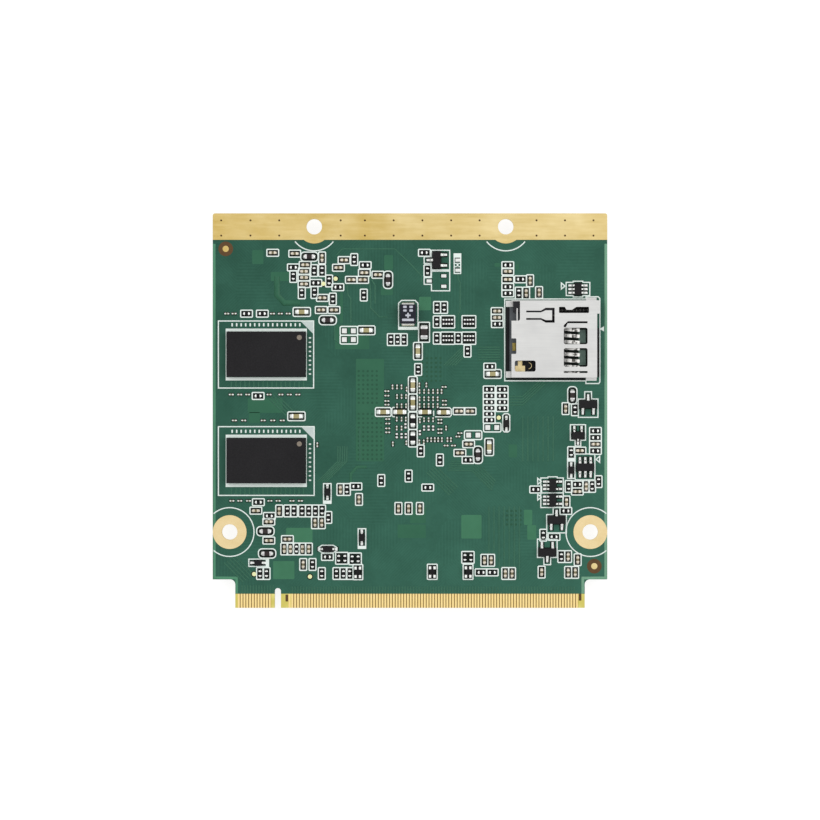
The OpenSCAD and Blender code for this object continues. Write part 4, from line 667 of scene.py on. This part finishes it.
def part_boxes(node):
    """Middle and size from above, in millimetres, of each solid of a CAD node, from a merged copy."""
    copy = nodes[node].copy()
    copy.data = nodes[node].data.copy()
    scene.collection.objects.link(copy)
    deselect()
    copy.select_set(True)
    bpy.context.view_layer.objects.active = copy
    bpy.ops.object.mode_set(mode="EDIT")
    bpy.ops.mesh.select_all(action="SELECT")
    bpy.ops.mesh.remove_doubles(threshold=0.000001)
    bpy.ops.mesh.separate(type="LOOSE")
    bpy.ops.object.mode_set(mode="OBJECT")
    found = []
    for part in list(bpy.context.selected_objects):
        xs = [vertex.co.x * 1000 for vertex in part.data.vertices]
        ys = [vertex.co.y * 1000 for vertex in part.data.vertices]
        middle = ((min(xs) + max(xs)) / 2, (min(ys) + max(ys)) / 2)
        found.append((*middle, max(xs) - min(xs), max(ys) - min(ys)))
        bpy.data.objects.remove(part)
    return sorted(found)


def chip_places(node, shortest=0.0, longest=math.inf):
    """Place and turn of each chip of a node between two lengths; unturned, its long side lies along x."""
    boxes = [box for box in part_boxes(node) if shortest < max(box[2:]) < longest]
    return [(x, y, 0 if across > up else 90) for x, y, across, up in boxes]


def turned(outline, x, y, turn):
    """An outline drawn about the origin, turned and moved to its place."""
    c = math.cos(math.radians(turn))
    s = math.sin(math.radians(turn))
    points = [(x + c * u - s * v, y + s * u + c * v) for u, v in outline[:-1]]
    return points + points[:1]


def rectangle(left, right, low, high):
    """Corner points of a closed rectangle."""
    return [(left, low), (right, low), (right, high), (left, high), (left, low)]


def arc(x, y, radius, start, end):
    """Points along part of a circle, angles in degrees."""
    steps = 48
    angles = [math.radians(start + (end - start) * i / steps) for i in range(steps + 1)]
    return [(x + radius * math.cos(a), y + radius * math.sin(a)) for a in angles]


# Legend ink: matt white epoxy with a faint green tinge, a little uneven from the printing screen
ink, tree, shader, place = new_material("white_legend_ink", "#e2efe9", 0.6, shine=0.2)
uneven, white = two_tones(tree, place, "#e6f5ee", "#f8fffb", patch=0.6, detail=3)
tree.links.new(white, shader.inputs["Base Color"])
relief = add_node(tree, "Bump", {}, {"Strength": 0.2, "Distance": 0.00001, "Height": uneven})
tree.links.new(relief.outputs["Normal"], shader.inputs["Normal"])

resistor_places = chip_places("resistors", longest=1.2)
link_places = chip_places("resistors", shortest=1.2)
capacitor_places = chip_places("capacitors")
large_places = chip_places("large_capacitors")
tiny_places = chip_places("tiny_capacitors")
bead_places = chip_places("beads", longest=1.8)
supply_places = chip_places("beads", shortest=1.8)
array_places = chip_places("resistor_arrays")
choke_places = chip_places("chokes")


def alone(x, y):
    """Whether a chip has an outline of its own rather than sharing one with its twin."""
    return all(abs(x - px) > 0.8 or abs(y - py) > 0.8 for px, py in pair_places)


def touching(a, b):
    """Whether two boxes (left, right, low, high) overlap."""
    return a[0] < b[1] and b[0] < a[1] and a[2] < b[3] and b[2] < a[3]


def sorted_apart(boxed):
    """Sort (box, item) pairs into groups in which no two boxes overlap."""
    groups = []
    for box, item in boxed:
        free = [group for group in groups if not any(touching(box, other) for other, _ in group)]
        if free:
            free[0].append((box, item))
        else:
            groups.append([(box, item)])
    return [[item for _, item in group] for group in groups]


def frame_box(size, spot):
    """Box of a frame of this size at a place."""
    across, up = size if spot[2] % 180 == 0 else reversed(size)
    return (spot[0] - across / 2, spot[0] + across / 2, spot[1] - up / 2, spot[1] + up / 2)


framed = [spot for spot in resistor_places + capacitor_places if alone(spot[0], spot[1])]
in_row = [spot for spot in large_places if abs(spot[1] - row_y) < 0.1]
not_in_row = [spot for spot in large_places if abs(spot[1] - row_y) > 0.1]
# Each kind of frame: its size, corner radius, steps in the corner and places
frame_kinds = [
    (small_frame, 0.16, 1, framed),
    (pair_frame, 0.2, 3, [(x, y, 0) for x, y in pair_places]),
    (large_frame, 0.35, 3, not_in_row + link_places),
    (bead_frame, 0.75, 6, bead_places),
    (supply_frame, 0.2, 3, supply_places),
    (array_frame, 0.2, 3, array_places),
    (choke_frame, 0.2, 3, choke_places),
]
# Prints that overlap lie a hair apart in height, so that neither flickers through the other
ink_top = ink_h
prints = []
# Frames of the middle row's first capacitor and of the places that stay empty
lone_frames = [(row_frame, 0.35, 3, in_row[:1]), (large_frame, 0.35, 3, bare_large_places)]
for size, corner, steps, spots in frame_kinds + lone_frames:
    for group in sorted_apart([(frame_box(size, spot), spot) for spot in spots]):
        outline = plate(*size, ink_top, face_z, corner=corner, line=ink_line, steps=steps)
        prints.append(copies(outline, group))
        ink_top += ink_step

outlines = other_outlines + broken_outlines
outlines += [turned(transistor_outline, *spot) for spot in transistor_places]
outlines += [turned(small_transistor_outline, *spot) for spot in small_transistor_places]
outlines += [rectangle(*box) for box in printed_boxes]
for (x, y, _), (radius, start, end) in zip(hole_places, hole_arcs):
    outlines.append(arc(x, y, radius, start, end))
outlines += [turned(pin_triangle, *spot) for spot in open_pin_marks]
boxed = []
for points in outlines:
    xs = [x for x, y in points]
    ys = [y for x, y in points]
    box = (min(xs) - outline_w, max(xs) + outline_w, min(ys) - outline_w, max(ys) + outline_w)
    boxed.append((box, points))
for group in sorted_apart(boxed):
    prints.append(ribbons(group, outline_w, ink_top, face_z))
    ink_top += ink_step
prints.append(ribbons(memory_side_lines, memory_side_w, ink_top, face_z))
ink_top += ink_step

prints.append(slabs(bars, ink_top))
ticks = [(memory_mark_start + memory_mark_step * i, y, 0) for y in memory_mark_rows for i in range(16)]
prints.append(copies(plate(*row_tick, ink_h, face_z, corner=tick_corner), ticks))
ticks = [(memory_column_x, high + (low - high) * i / 8, 0)
         for high, low in memory_mark_columns for i in range(9)]
prints.append(copies(plate(*column_tick, ink_h, face_z, corner=tick_corner), ticks))
corner_mark = plate(corner_mark_side, corner_mark_side, area_h, face_z)
bpy.ops.object.mode_set(mode="EDIT")
bpy.ops.mesh.select_all(action="SELECT")
bpy.ops.mesh.bisect(plane_co=(0, 0, face_z), plane_no=(-1, -1, 0), clear_outer=True, use_fill=True)
bpy.ops.object.mode_set(mode="OBJECT")
corner_marks = copies(corner_mark, corner_mark_places)
# Wide areas of ink: pressed thinner than the lines, so the green below greys them
thin_ink = mottled("white_legend_ink_pressed_thin", "#cbd7d4", "#bccac6", "#d9e3e0",
                   patch=0.5, detail=4, roughness=0.6, shine=0.2)
settle(corner_marks, "printed_corners", thin_ink)
prints.append(copies(disc(pin_triangle_d, ink_h, face_z, sides=3), pin_marks))
settle(join(prints), "printed_legend", ink)


# Solder: the mask is open round the lands, where an almost black sheet is painted shade. Each chip stands on
# two lands,
# and reflowed solder climbs its ends: the fillet is bright, its flat skirt is painted almost black, a
# painted reflection of the dark board.
opening_h = 0.022
lead_opening_l = 1.15
lead_opening_out = 0.12
widest_opening = 0.9
narrow_opening = 0.62
body_ring = 0.26
tiny_opening = (1.02, 0.56)
land_ring = 0.26
test_pad_ring_d = 1.12


def block(start, end, width, height):
    """A block on the board's face along x, from start to end, with none of its corners selected."""
    deselect()
    bpy.ops.mesh.primitive_cube_add(size=1)
    piece = bpy.context.object
    piece.data.transform(Matrix.Diagonal((end - start, width, height, 1)))
    moved(piece, (start + end) / 2, 0, face_z + height / 2)
    bpy.ops.object.mode_set(mode="EDIT")
    bpy.ops.mesh.select_all(action="DESELECT")
    bpy.ops.object.mode_set(mode="OBJECT")
    return piece


def mound(start, end, width, rise, top_end, top_width, rounding):
    """One mound of solder along x, from start to end, with a shorter and narrower top."""
    piece = block(start, end, width, rise)
    for vertex in piece.data.vertices:
        vertex.select = vertex.co.z > face_z + rise / 2
    bpy.ops.object.mode_set(mode="EDIT")
    shrink = ((top_end - start) / (end - start), top_width / width, 1)
    bpy.ops.transform.resize(value=shrink, center_override=(start, 0, face_z + rise))
    bpy.ops.mesh.select_all(action="SELECT")
    bpy.ops.mesh.bevel(offset=rounding, segments=1, affect="EDGES")
    bpy.ops.object.mode_set(mode="OBJECT")
    return piece


def at_ends(piece, places):
    """Copy a piece that belongs at a chip's +x end to both ends of the chip at each place."""
    return copies(piece, [(x, y, turn + half) for x, y, turn in places for half in (0, 180)])


def lead_tips(leads, bodies):
    """Place of each lead's tip, and the way it points from the nearest body."""
    body_boxes = part_boxes(bodies)
    tips = []
    for x, y, across, up in part_boxes(leads):
        bx, by, body_across, body_up = min(body_boxes, key=lambda box: math.dist(box[:2], (x, y)))
        if abs(x - bx) - body_across / 2 > abs(y - by) - body_up / 2:
            way = 1 if x > bx else -1
            tips.append((x + way * across / 2, y, 90 - 90 * way))
        else:
            way = 1 if y > by else -1
            tips.append((x, y + way * up / 2, 90 * way))
    return tips


def ring_boxes(node, ring):
    """Box round each solid of a CAD node, larger than it by a ring."""
    return [frame_box((across + ring, up + ring), (x, y, 0)) for x, y, across, up in part_boxes(node)]


def near_twin(tip, tips):
    """Whether another lead that points the same way stands close beside this one."""
    gaps = [math.dist(tip[:2], other[:2]) for other in tips if other[2] == tip[2]]
    return any(0.01 < gap < widest_opening for gap in gaps)


# Painted shade: an almost black sheet in the openings of the mask round lands, leads and moulded bodies and
# inside the chips' frames, where the parts shade the board
painted_shade_sheet = mottled("painted_shade_round_lands", "#141c18", "#0e1511", "#1c2721",
                    patch=0.5, detail=2, roughness=0.5, shine=0.12)
moulded_tips = lead_tips("transistor_leads", "transistors") + lead_tips("logic_leads", "logic_chips")
diode_tips = lead_tips("diode_leads", "diodes")
openings = []
for size, corner, steps, spots in frame_kinds + [(row_frame, 0.35, 3, in_row)]:
    field = (size[0] - 2 * ink_line, size[1] - 2 * ink_line)
    openings.append(copies(plate(*field, opening_h, face_z, corner=max(corner - ink_line, 0)), spots))
openings.append(slabs(ring_boxes("bare_lands", land_ring), opening_h, corner=0.08))
pad_places = [(x, y, 0) for x, y, across, up in part_boxes("test_pads")]
openings.append(copies(disc(test_pad_ring_d, opening_h, face_z, sides=16), pad_places))
close_tips = [tip for tip in moulded_tips if near_twin(tip, moulded_tips)]
wide_tips = [tip for tip in moulded_tips if not near_twin(tip, moulded_tips)]
for width, tips in ((narrow_opening, close_tips), (widest_opening, wide_tips + diode_tips)):
    field = plate(lead_opening_l, width, opening_h, face_z, corner=0.12)
    openings.append(copies(moved(field, lead_opening_out, 0), tips))
for node in ("transistors", "logic_chips", "diodes"):
    openings.append(slabs(ring_boxes(node, body_ring), opening_h / 2))
openings.append(copies(plate(*tiny_opening, opening_h, face_z), tiny_places))
settle(join(openings), "painted_shade_openings", painted_shade_sheet)
# Solder skirt: grey metal painted almost black, a painted reflection of the dark board; the balls under the
# packages share it
solder_painted_reflection = mottled("reflowed_solder_skirt_painted_reflection", "#2a2f2d", "#141817", "#292e2c",
                      patch=0.25, detail=2, roughness=0.32, metallic=1.0)
coat(solder_painted_reflection, "memory_balls", "processor_balls", "hidden_memory_balls", "storage_balls")
# Solder fillet: bright grey metal, smooth and slightly frosted
bright_solder = mottled("reflowed_solder_fillet", "#dfe2de", "#c4c8c5", "#f6f7f4",
                        patch=0.3, detail=3, roughness=0.35, metallic=1.0)
coat(bright_solder, "bare_lands")
skirts = [
    at_ends(mound(0.17, 0.87, 0.86, 0.16, 0.55, 0.52, 0.05), resistor_places + capacitor_places),
    at_ends(mound(0.1, 0.5, 0.42, 0.1, 0.32, 0.3, 0.03), tiny_places),
    at_ends(mound(0.35, 1.4, 1.1, 0.2, 0.9, 0.8, 0.08), large_places + link_places),
    at_ends(mound(0.3, 1.4, 1.2, 0.2, 0.9, 0.8, 0.2), bead_places),
    at_ends(mound(0.5, 1.5, 1.5, 0.2, 1.1, 1.25, 0.08), supply_places),
]
settle(join(skirts), "solder_skirts", solder_painted_reflection)
# Leads of the moulded parts stand in longer fillets that run out along their lands
fillets = [
    at_ends(mound(0.42, 0.7, 0.42, 0.27, 0.56, 0.36, 0.05), resistor_places),
    at_ends(mound(0.22, 0.48, 0.3, 0.22, 0.4, 0.24, 0.03), tiny_places),
    at_ends(mound(0.65, 1.3, 0.86, 0.5, 1.0, 0.74, 0.1), large_places),
    at_ends(mound(0.65, 1.25, 0.86, 0.4, 0.98, 0.74, 0.1), link_places),
    at_ends(mound(0.5, 1.2, 0.82, 0.66, 0.95, 0.6, 0.16), bead_places),
    at_ends(mound(0.8, 1.36, 1.3, 0.5, 1.15, 1.2, 0.1), supply_places),
    copies(mound(-0.2, 0.62, 0.44, 0.13, 0.5, 0.36, 0.03), moulded_tips),
    copies(mound(-0.15, 0.45, 0.48, 0.13, 0.35, 0.4, 0.03), diode_tips),
]
settle(join(fillets), "solder_fillets", bright_solder)
# Solder with a film of flux: duller and warmer, and no two joints the same
dull_solder = mottled("reflowed_solder_with_flux", "#d6cebd", "#a49b8a", "#f6eee0",
                      patch=0.8, detail=2, roughness=0.42, metallic=1.0)
case_low, case_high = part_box("tantalum_case")
case_place = ((case_low.x + case_high.x) * 500, (case_low.y + case_high.y) * 500, 90)
dull_fillets = [
    at_ends(mound(0.42, 0.78, 0.5, 0.34, 0.62, 0.42, 0.06), capacitor_places),
    at_ends(mound(1.62, 2.15, 2.3, 0.5, 1.85, 2.2, 0.08), [case_place]),
]
settle(join(dull_fillets), "fluxed_fillets", dull_solder)


# Chips: resistors with a black glazed face, tan ceramic capacitors and dark ferrite beads. Each has a tinned
# cap dipped over either end, thicker at the corners than the body.
def cap(length, width, height, deep, rounding, segments=2):
    """The tinned cap on the +x end of a chip that lies along x; its edge towards the middle stays sharp."""
    piece = block(length / 2 - deep, length / 2, width, height)
    inner = length / 2 - deep + rounding / 2
    for edge in piece.data.edges:
        edge.select = any(piece.data.vertices[i].co.x > inner for i in edge.vertices)
    bpy.ops.object.mode_set(mode="EDIT")
    bpy.ops.mesh.select_mode(type="EDGE")
    bpy.ops.mesh.bevel(offset=rounding, segments=segments, affect="EDGES")
    bpy.ops.mesh.select_mode(type="VERT")
    bpy.ops.object.mode_set(mode="OBJECT")
    bpy.ops.object.shade_smooth_by_angle(angle=math.radians(35))
    return piece


def soften(width, *names):
    """Merge CAD nodes' loose triangles and round their edges with live modifiers."""
    for name in names:
        merge = nodes[name].modifiers.new("merge", "WELD")
        merge.merge_threshold = 0.000001
        edges = nodes[name].modifiers.new("rounded_edges", "BEVEL")
        edges.width = width / 1000
        edges.segments = 2
        edges.limit_method = "ANGLE"
        edges.angle_limit = math.radians(40)


# Matt tin: nearly white metal, frosted by its fine crystals
tin = mottled("matt_tin_plating", "#eceeea", "#d9dcd8", "#fafbf8",
              patch=0.15, detail=3, roughness=0.4, metallic=1.0)
coat(tin, "resistor_array_ends", "choke_ends", "tantalum_straps", "transistor_leads", "logic_leads",
     "diode_leads", "leadless_lands", "boot_leads", "inductor_clips", "hidden_capacitor_ends",
     "resistor_ends", "capacitor_ends", "tiny_capacitor_ends", "large_capacitor_ends", "bead_ends")
# Thin tin on the beads: neutral grey, darker where the silver paste shows through
bead_tin = mottled("thin_tin_plating", "#b6b5b4", "#8a898b", "#f2f1f0",
                   patch=0.7, detail=2, roughness=0.4, metallic=1.0)
# Tin with a film of flux: warmer and duller, and different from chip to chip
dull_tin = mottled("matt_tin_plating_with_flux", "#cfc8ba", "#a39a8b", "#f2eadb",
                   patch=1.1, detail=2, roughness=0.45, metallic=1.0)
resistor_caps = join([at_ends(cap(1.0, 0.5, 0.35, 0.22, 0.05), resistor_places),
                      at_ends(cap(1.6, 0.8, 0.45, 0.36, 0.07), link_places)])
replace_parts(settle(resistor_caps, "resistor_caps", tin), "resistor_ends")
capacitor_caps = at_ends(cap(1.0, 0.5, 0.5, 0.31, 0.06), capacitor_places)
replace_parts(settle(capacitor_caps, "capacitor_caps", dull_tin), "capacitor_ends")
tiny_caps = at_ends(cap(0.6, 0.3, 0.3, 0.16, 0.04, 1), tiny_places)
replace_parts(settle(tiny_caps, "tiny_capacitor_caps", tin), "tiny_capacitor_ends")
large_caps = at_ends(cap(1.6, 0.8, 0.8, 0.33, 0.1), large_places)
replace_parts(settle(large_caps, "large_capacitor_caps", tin), "large_capacitor_ends")
bead_caps = join([at_ends(cap(1.6, 0.8, 0.8, 0.4, 0.1), bead_places),
                  at_ends(cap(2.0, 1.25, 0.9, 0.5, 0.12), supply_places)])
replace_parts(settle(bead_caps, "bead_caps", bead_tin), "bead_ends")

# Glazed resistor coat: near-black lacquer with a soft gloss
glaze = mottled("black_resistor_glaze", "#141315", "#0e0d0f", "#1d1b1e",
                patch=0.4, detail=2, roughness=0.3, shine=0.15)
coat(glaze, "resistors", "resistor_arrays", "chokes")

# Fired barium titanate: matt tan that differs from chip to chip, with a fine grain
ceramic, tree, shader, place = new_material("tan_capacitor_ceramic", "#a18c5b", 0.55, shine=0.25)
batch = add_node(tree, "TexNoise", {}, {"Vector": place, "Scale": scale_for(2.2), "Detail": 0})
grain = add_node(tree, "TexNoise", {}, {"Vector": place, "Scale": scale_for(0.12), "Detail": 2})
mixed = add_node(tree, "Math", {"operation": "MULTIPLY_ADD"}, {0: grain, 1: 0.3, 2: batch})
tone = add_node(tree, "MapRange", {}, {"Value": mixed, "From Min": 0.35, "From Max": 0.95})
tan = add_node(tree, "Mix", {"data_type": "RGBA"}, {0: tone, 6: linear("#9b9265"), 7: linear("#bab186")})
tree.links.new(tan.outputs[2], shader.inputs["Base Color"])
coat(ceramic, "large_capacitors", "hidden_capacitors")

# Ceramic of the small capacitors: the same titanate, fired to a darker olive brown
brown_ceramic = mottled("brown_capacitor_ceramic", "#75674a", "#645d48", "#948b6a",
                        patch=2.2, detail=1, roughness=0.55, shine=0.2)
coat(brown_ceramic, "capacitors")

# Ceramic of the tiny capacitors: the same titanate, fired greyer
grey_ceramic = mottled("grey_capacitor_ceramic", "#857f6b", "#757864", "#a3a792",
                       patch=1.5, detail=1, roughness=0.55, shine=0.2)
coat(grey_ceramic, "tiny_capacitors")

# Sintered ferrite: dark brown-grey, matt and slightly speckled
ferrite = mottled("sintered_ferrite", "#342e2e", "#262122", "#423a3a",
                  patch=0.2, detail=3, roughness=0.6, shine=0.15)
coat(ferrite, "beads", "inductors")
soften(0.05, "capacitors", "resistors", "resistor_arrays", "hidden_capacitors")
soften(0.09, "large_capacitors", "beads", "chokes")
soften(0.03, "resistor_array_ends", "choke_ends", "hidden_capacitor_ends")


# Moulded packages: memories, transistors, logic chips, diodes and the lower face's chips, pressed from black
# epoxy round a lead frame or on a ball-grid board. The tops are matt, with a round mark for pin 1.
pin_mark_d = 0.9
pin_mark_h = 0.01
pin_mark_z = 4.3
pin_mark_places = [(-19.6, 12.95, 0), (-19.6, -5.9, 0)]

# Black moulding epoxy: matt charcoal with a fine sparkle of silica filler
mould, tree, shader, place = new_material("black_moulding_epoxy", "#201f21", 0.55, shine=0.12)
filler = add_node(tree, "TexNoise", {}, {"Vector": place, "Scale": scale_for(0.22), "Detail": 4})
cloud = add_node(tree, "TexNoise", {}, {"Vector": place, "Scale": scale_for(6), "Detail": 2})
mixed = add_node(tree, "Math", {"operation": "MULTIPLY_ADD"}, {0: cloud, 1: 0.5, 2: filler})
tone = add_node(tree, "MapRange", {}, {"Value": mixed, "From Min": 0.4, "From Max": 1.1})
charcoal = add_node(tree, "Mix", {"data_type": "RGBA"},
                    {0: tone, 6: linear("#161517"), 7: linear("#272628")})
tree.links.new(charcoal.outputs[2], shader.inputs["Base Color"])
relief = add_node(tree, "Bump", {}, {"Strength": 0.25, "Distance": 0.00001, "Height": filler})
tree.links.new(relief.outputs["Normal"], shader.inputs["Normal"])
coat(mould, "upper_memory", "lower_memory", "hidden_memory_upper", "hidden_memory_lower", "storage_chip",
     "leadless_chips", "boot_memory", "transistors", "logic_chips", "diodes", "processor")
soften(0.06, "upper_memory", "lower_memory", "hidden_memory_upper", "hidden_memory_lower", "storage_chip",
       "leadless_chips", "boot_memory", "processor")
soften(0.05, "transistors", "logic_chips", "diodes")

# First-pin mark: the ejector pin of the mould leaves a smoother, paler round floor
mark_grey = mottled("moulding_epoxy_under_ejector_pin", "#8a7f72", "#756b5f", "#9d9285",
                    patch=0.25, detail=3, roughness=0.5, shine=0.2)
mould_marks = copies(disc(pin_mark_d, pin_mark_h, pin_mark_z, sides=32), pin_mark_places)
settle(mould_marks, "first_pin_marks", mark_grey)

# Tantalum case: smooth dark blue epoxy with a soft gloss
case_blue = mottled("dark_blue_case_epoxy", "#1f2030", "#12131e", "#20222f",
                    patch=1.2, detail=3, roughness=0.4, shine=0.2)
coat(case_blue, "tantalum_case")
soften(0.1, "tantalum_case")
case_top = 5.0
case_mark_h = 0.004
case_mark_step = 0.001
# Marks on the case: middle, width and length of two rows of dashes, a plus sign and a bar
case_marks = [
    (-0.9, 18.35, 0.62, 0.4), (0.2, 18.35, 0.62, 0.4), (-0.9, 17.7, 0.62, 0.36), (0.2, 17.7, 0.62, 0.4),
    (-0.35, 16.85, 0.3, 0.9), (-0.35, 16.85, 0.95, 0.3), (-0.35, 16.05, 2.1, 0.42),
]
# Pale marking: laser-bleached epoxy, nearly level with the case
bleached = mottled("bleached_case_epoxy", "#c3c6d2", "#a9adbb", "#dcdee6",
                   patch=0.15, detail=2, roughness=0.5, shine=0.2)
strokes = []
for i, (x, y, across, up) in enumerate(case_marks):
    stroke = plate(across, up, case_mark_h + case_mark_step * i, case_top, corner=0.1)
    strokes.append(moved(stroke, x, y))
settle(join(strokes), "case_marks", bleached)


# Memory card socket: a stamped nickel-plated shell hooked over a black housing, plated spring contacts seen
# through its windows, and an ejector slider, pushed back by a coil spring and guided by a wire cam pin.
mouth_end = 19.3
mouth_floor_h = 0.3
# Middle and half width of the band in which the contacts are streaked darker, and above which y a switch
# spring is tarnished
streak_x = 29.15
streak_half = 0.5
tarnish_y = 9.5
# Board seen through the shell's windows: left, right, bottom and top of the painted shade under the contacts
# and along the lower side, and of the two fields of mask behind the contacts, painted lighter as painted
# light
shade_field_boxes = [(27.3, 31.9, 7.0, 15.0), (17.1, 31.1, 5.4, 5.95)]
window_painted_light_boxes = [(29.9, 31.15, 12.0, 14.35), (29.9, 31.15, 8.1, 10.8)]

# Nickel-plated steel: pale satin metal with a faint rolled grain
shell_steel, tree, shader, place = new_material("nickel_plated_steel", "#d3d3d1", 0.4, 1.0)
rolled = add_node(tree, "Mapping", {}, {"Vector": place, "Scale": (0.06, 1, 1)})
grain = add_node(tree, "TexNoise", {}, {"Vector": rolled, "Scale": scale_for(0.25), "Detail": 3})
cloud = add_node(tree, "TexNoise", {}, {"Vector": place, "Scale": scale_for(5), "Detail": 2})
tone = add_node(tree, "Math", {"operation": "MULTIPLY_ADD"}, {0: grain, 1: 0.4, 2: cloud})
shade = add_node(tree, "MapRange", {}, {"Value": tone, "From Min": 0.4, "From Max": 1.0})
pale = add_node(tree, "Mix", {"data_type": "RGBA"}, {0: shade, 6: linear("#c3c3c2"), 7: linear("#d3d3d1")})
tree.links.new(pale.outputs[2], shader.inputs["Base Color"])
satin = add_node(tree, "MapRange", {}, {"Value": grain, "To Min": 0.32, "To Max": 0.48})
tree.links.new(satin.outputs["Result"], shader.inputs["Roughness"])
coat(shell_steel, "socket_shell", "socket_latch", "crystal_lids")
soften(0.04, "crystal_lids")

# Mask under the socket's windows: painted light, a paler grey green than the mask round it
window_painted_light_green = mottled("green_solder_mask_painted_lighter", "#7a9387", "#6c8579", "#89a196",
                    patch=0.8, detail=3, roughness=0.5, shine=0.15)
# Painted shade: almost black sheets on the board under the contacts and along the shell's lower side
settle(slabs(shade_field_boxes, opening_h / 2), "socket_painted_shade", painted_shade_sheet)
settle(slabs(window_painted_light_boxes, opening_h), "window_floor", window_painted_light_green)

# Glass-filled nylon: black, slightly rough from the mould; the raised floor at the mouth is grey
housing_black, tree, shader, place = new_material("black_glass_filled_nylon", "#131315", 0.5, shine=0.15)
_, black = two_tones(tree, place, "#0e0e10", "#1c1c1f", patch=0.3, detail=3)
axes = add_node(tree, "SeparateXYZ", {}, {0: place})
raised = add_node(tree, "Math", {"operation": "GREATER_THAN"},
                  {0: axes.outputs["Z"], 1: (face_z + mouth_floor_h) / 1000})
at_mouth = add_node(tree, "Math", {"operation": "LESS_THAN"}, {0: axes.outputs["X"], 1: mouth_end / 1000})
banded = add_node(tree, "Math", {"operation": "MULTIPLY"}, {0: raised, 1: at_mouth})
with_grey_mouth = add_node(tree, "Mix", {"data_type": "RGBA"}, {0: banded, 6: black, 7: linear("#5e6266")})
tree.links.new(with_grey_mouth.outputs[2], shader.inputs["Base Color"])
coat(housing_black, "socket_housing")

# Slider plastic: black acetal, smoother than the housing
slider_black = mottled("black_acetal", "#1d1c20", "#17161a", "#252429",
                       patch=0.5, detail=2, roughness=0.4, shine=0.2)
coat(slider_black, "socket_slider")
soften(0.05, "socket_slider")

# Copper alloy springs: tinned bright at the card contacts, streaked darker in a band across them
contact_bright, tree, shader, place = new_material("plated_copper_alloy", "#dedcd8", 0.45, 0.75)
axes = add_node(tree, "SeparateXYZ", {}, {0: place})
streak_cloud, pale = two_tones(tree, place, "#c9c7c3", "#fbfaf7", patch=0.5, detail=3)
streak = add_node(tree, "MapRange", {}, {"Value": streak_cloud, "From Min": 0.4, "From Max": 0.56})
at_card = add_node(tree, "Math", {"operation": "COMPARE"},
                   {0: axes.outputs["X"], 1: streak_x / 1000, 2: streak_half / 1000})
banded = add_node(tree, "Math", {"operation": "MULTIPLY"}, {0: streak, 1: at_card})
streaked = add_node(tree, "Mix", {"data_type": "RGBA"}, {0: banded, 6: pale, 7: linear("#4a4844")})
tree.links.new(streaked.outputs[2], shader.inputs["Base Color"])
coat(contact_bright, "socket_contacts")
# Gold flash on the switch springs: pale gold, tarnished olive on the one at the mouth
switch_gold, tree, shader, place = new_material("gold_flashed_copper_alloy", "#e0cd98", 0.35, 1.0)
axes = add_node(tree, "SeparateXYZ", {}, {0: place})
cloud, yellow = two_tones(tree, place, "#b39c63", "#eedfb4", patch=0.6, detail=3)
tarnish = add_node(tree, "Mix", {"data_type": "RGBA"},
                   {0: cloud, 6: linear("#4f4524"), 7: linear("#b7a45c")})
upper_spring = add_node(tree, "Math", {"operation": "GREATER_THAN"},
                        {0: axes.outputs["Y"], 1: tarnish_y / 1000})
flash = add_node(tree, "Mix", {"data_type": "RGBA"}, {0: upper_spring, 6: yellow, 7: tarnish.outputs[2]})
tree.links.new(flash.outputs[2], shader.inputs["Base Color"])
coat(switch_gold, "socket_switch")
soften(0.03, "socket_contacts", "socket_switch")


# Ejector spring: ten turns of hard-drawn wire, wound on a mandrel. It stands between slider and housing, and
# the slider presses it towards the back.
spring_low, spring_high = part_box("socket_spring")
spring_length = (spring_high.x - spring_low.x) * 1000
spring_r = 0.43
wire_r = 0.07
spring_turns = 10
deselect()
bpy.ops.mesh.primitive_circle_add(vertices=8, radius=wire_r, location=(wire_r, spring_r, 0))
spring = bpy.context.object
bpy.ops.object.transform_apply(location=True, rotation=False, scale=False)
coil = spring.modifiers.new("coil", "SCREW")
coil.axis = "X"
coil.screw_offset = (spring_length - 2 * wire_r) / spring_turns
coil.iterations = spring_turns
coil.steps = 14
coil.render_steps = 14
coil.use_merge_vertices = False
bpy.ops.object.modifier_apply(modifier="coil")
bpy.ops.object.mode_set(mode="EDIT")
bpy.ops.mesh.select_all(action="SELECT")
bpy.ops.mesh.fill_holes(sides=0)
bpy.ops.mesh.select_all(action="SELECT")
bpy.ops.mesh.normals_make_consistent(inside=False)
bpy.ops.object.mode_set(mode="OBJECT")
bpy.ops.object.shade_smooth_by_angle(angle=math.radians(50))
spring_middle = (spring_low + spring_high) / 2
moved(spring, spring_low.x * 1000, spring_middle.y * 1000, spring_middle.z * 1000)
# Spring steel: drawn wire, blued a little in its heat treatment, darker than the shell
wire_steel = mottled("drawn_spring_steel", "#4b4a48", "#3b3a39", "#5c5b58",
                     patch=0.2, detail=2, roughness=0.3, metallic=1.0)
coat(wire_steel, "socket_cam_pin")
settle(spring, "ejector_spring", wire_steel)
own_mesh(spring)
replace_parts(spring, "socket_spring")


# Lower face: crystals in ceramic trays with welded metal lids. The trays are brown alumina, fired matt; the
# other parts there share the finishes above.
alumina = mottled("brown_alumina_ceramic", "#6d625a", "#5c524b", "#7d7168",
                  patch=0.2, detail=3, roughness=0.6, shine=0.25)
coat(alumina, "crystal_bases")
soften(0.06, "crystal_bases", "inductors")
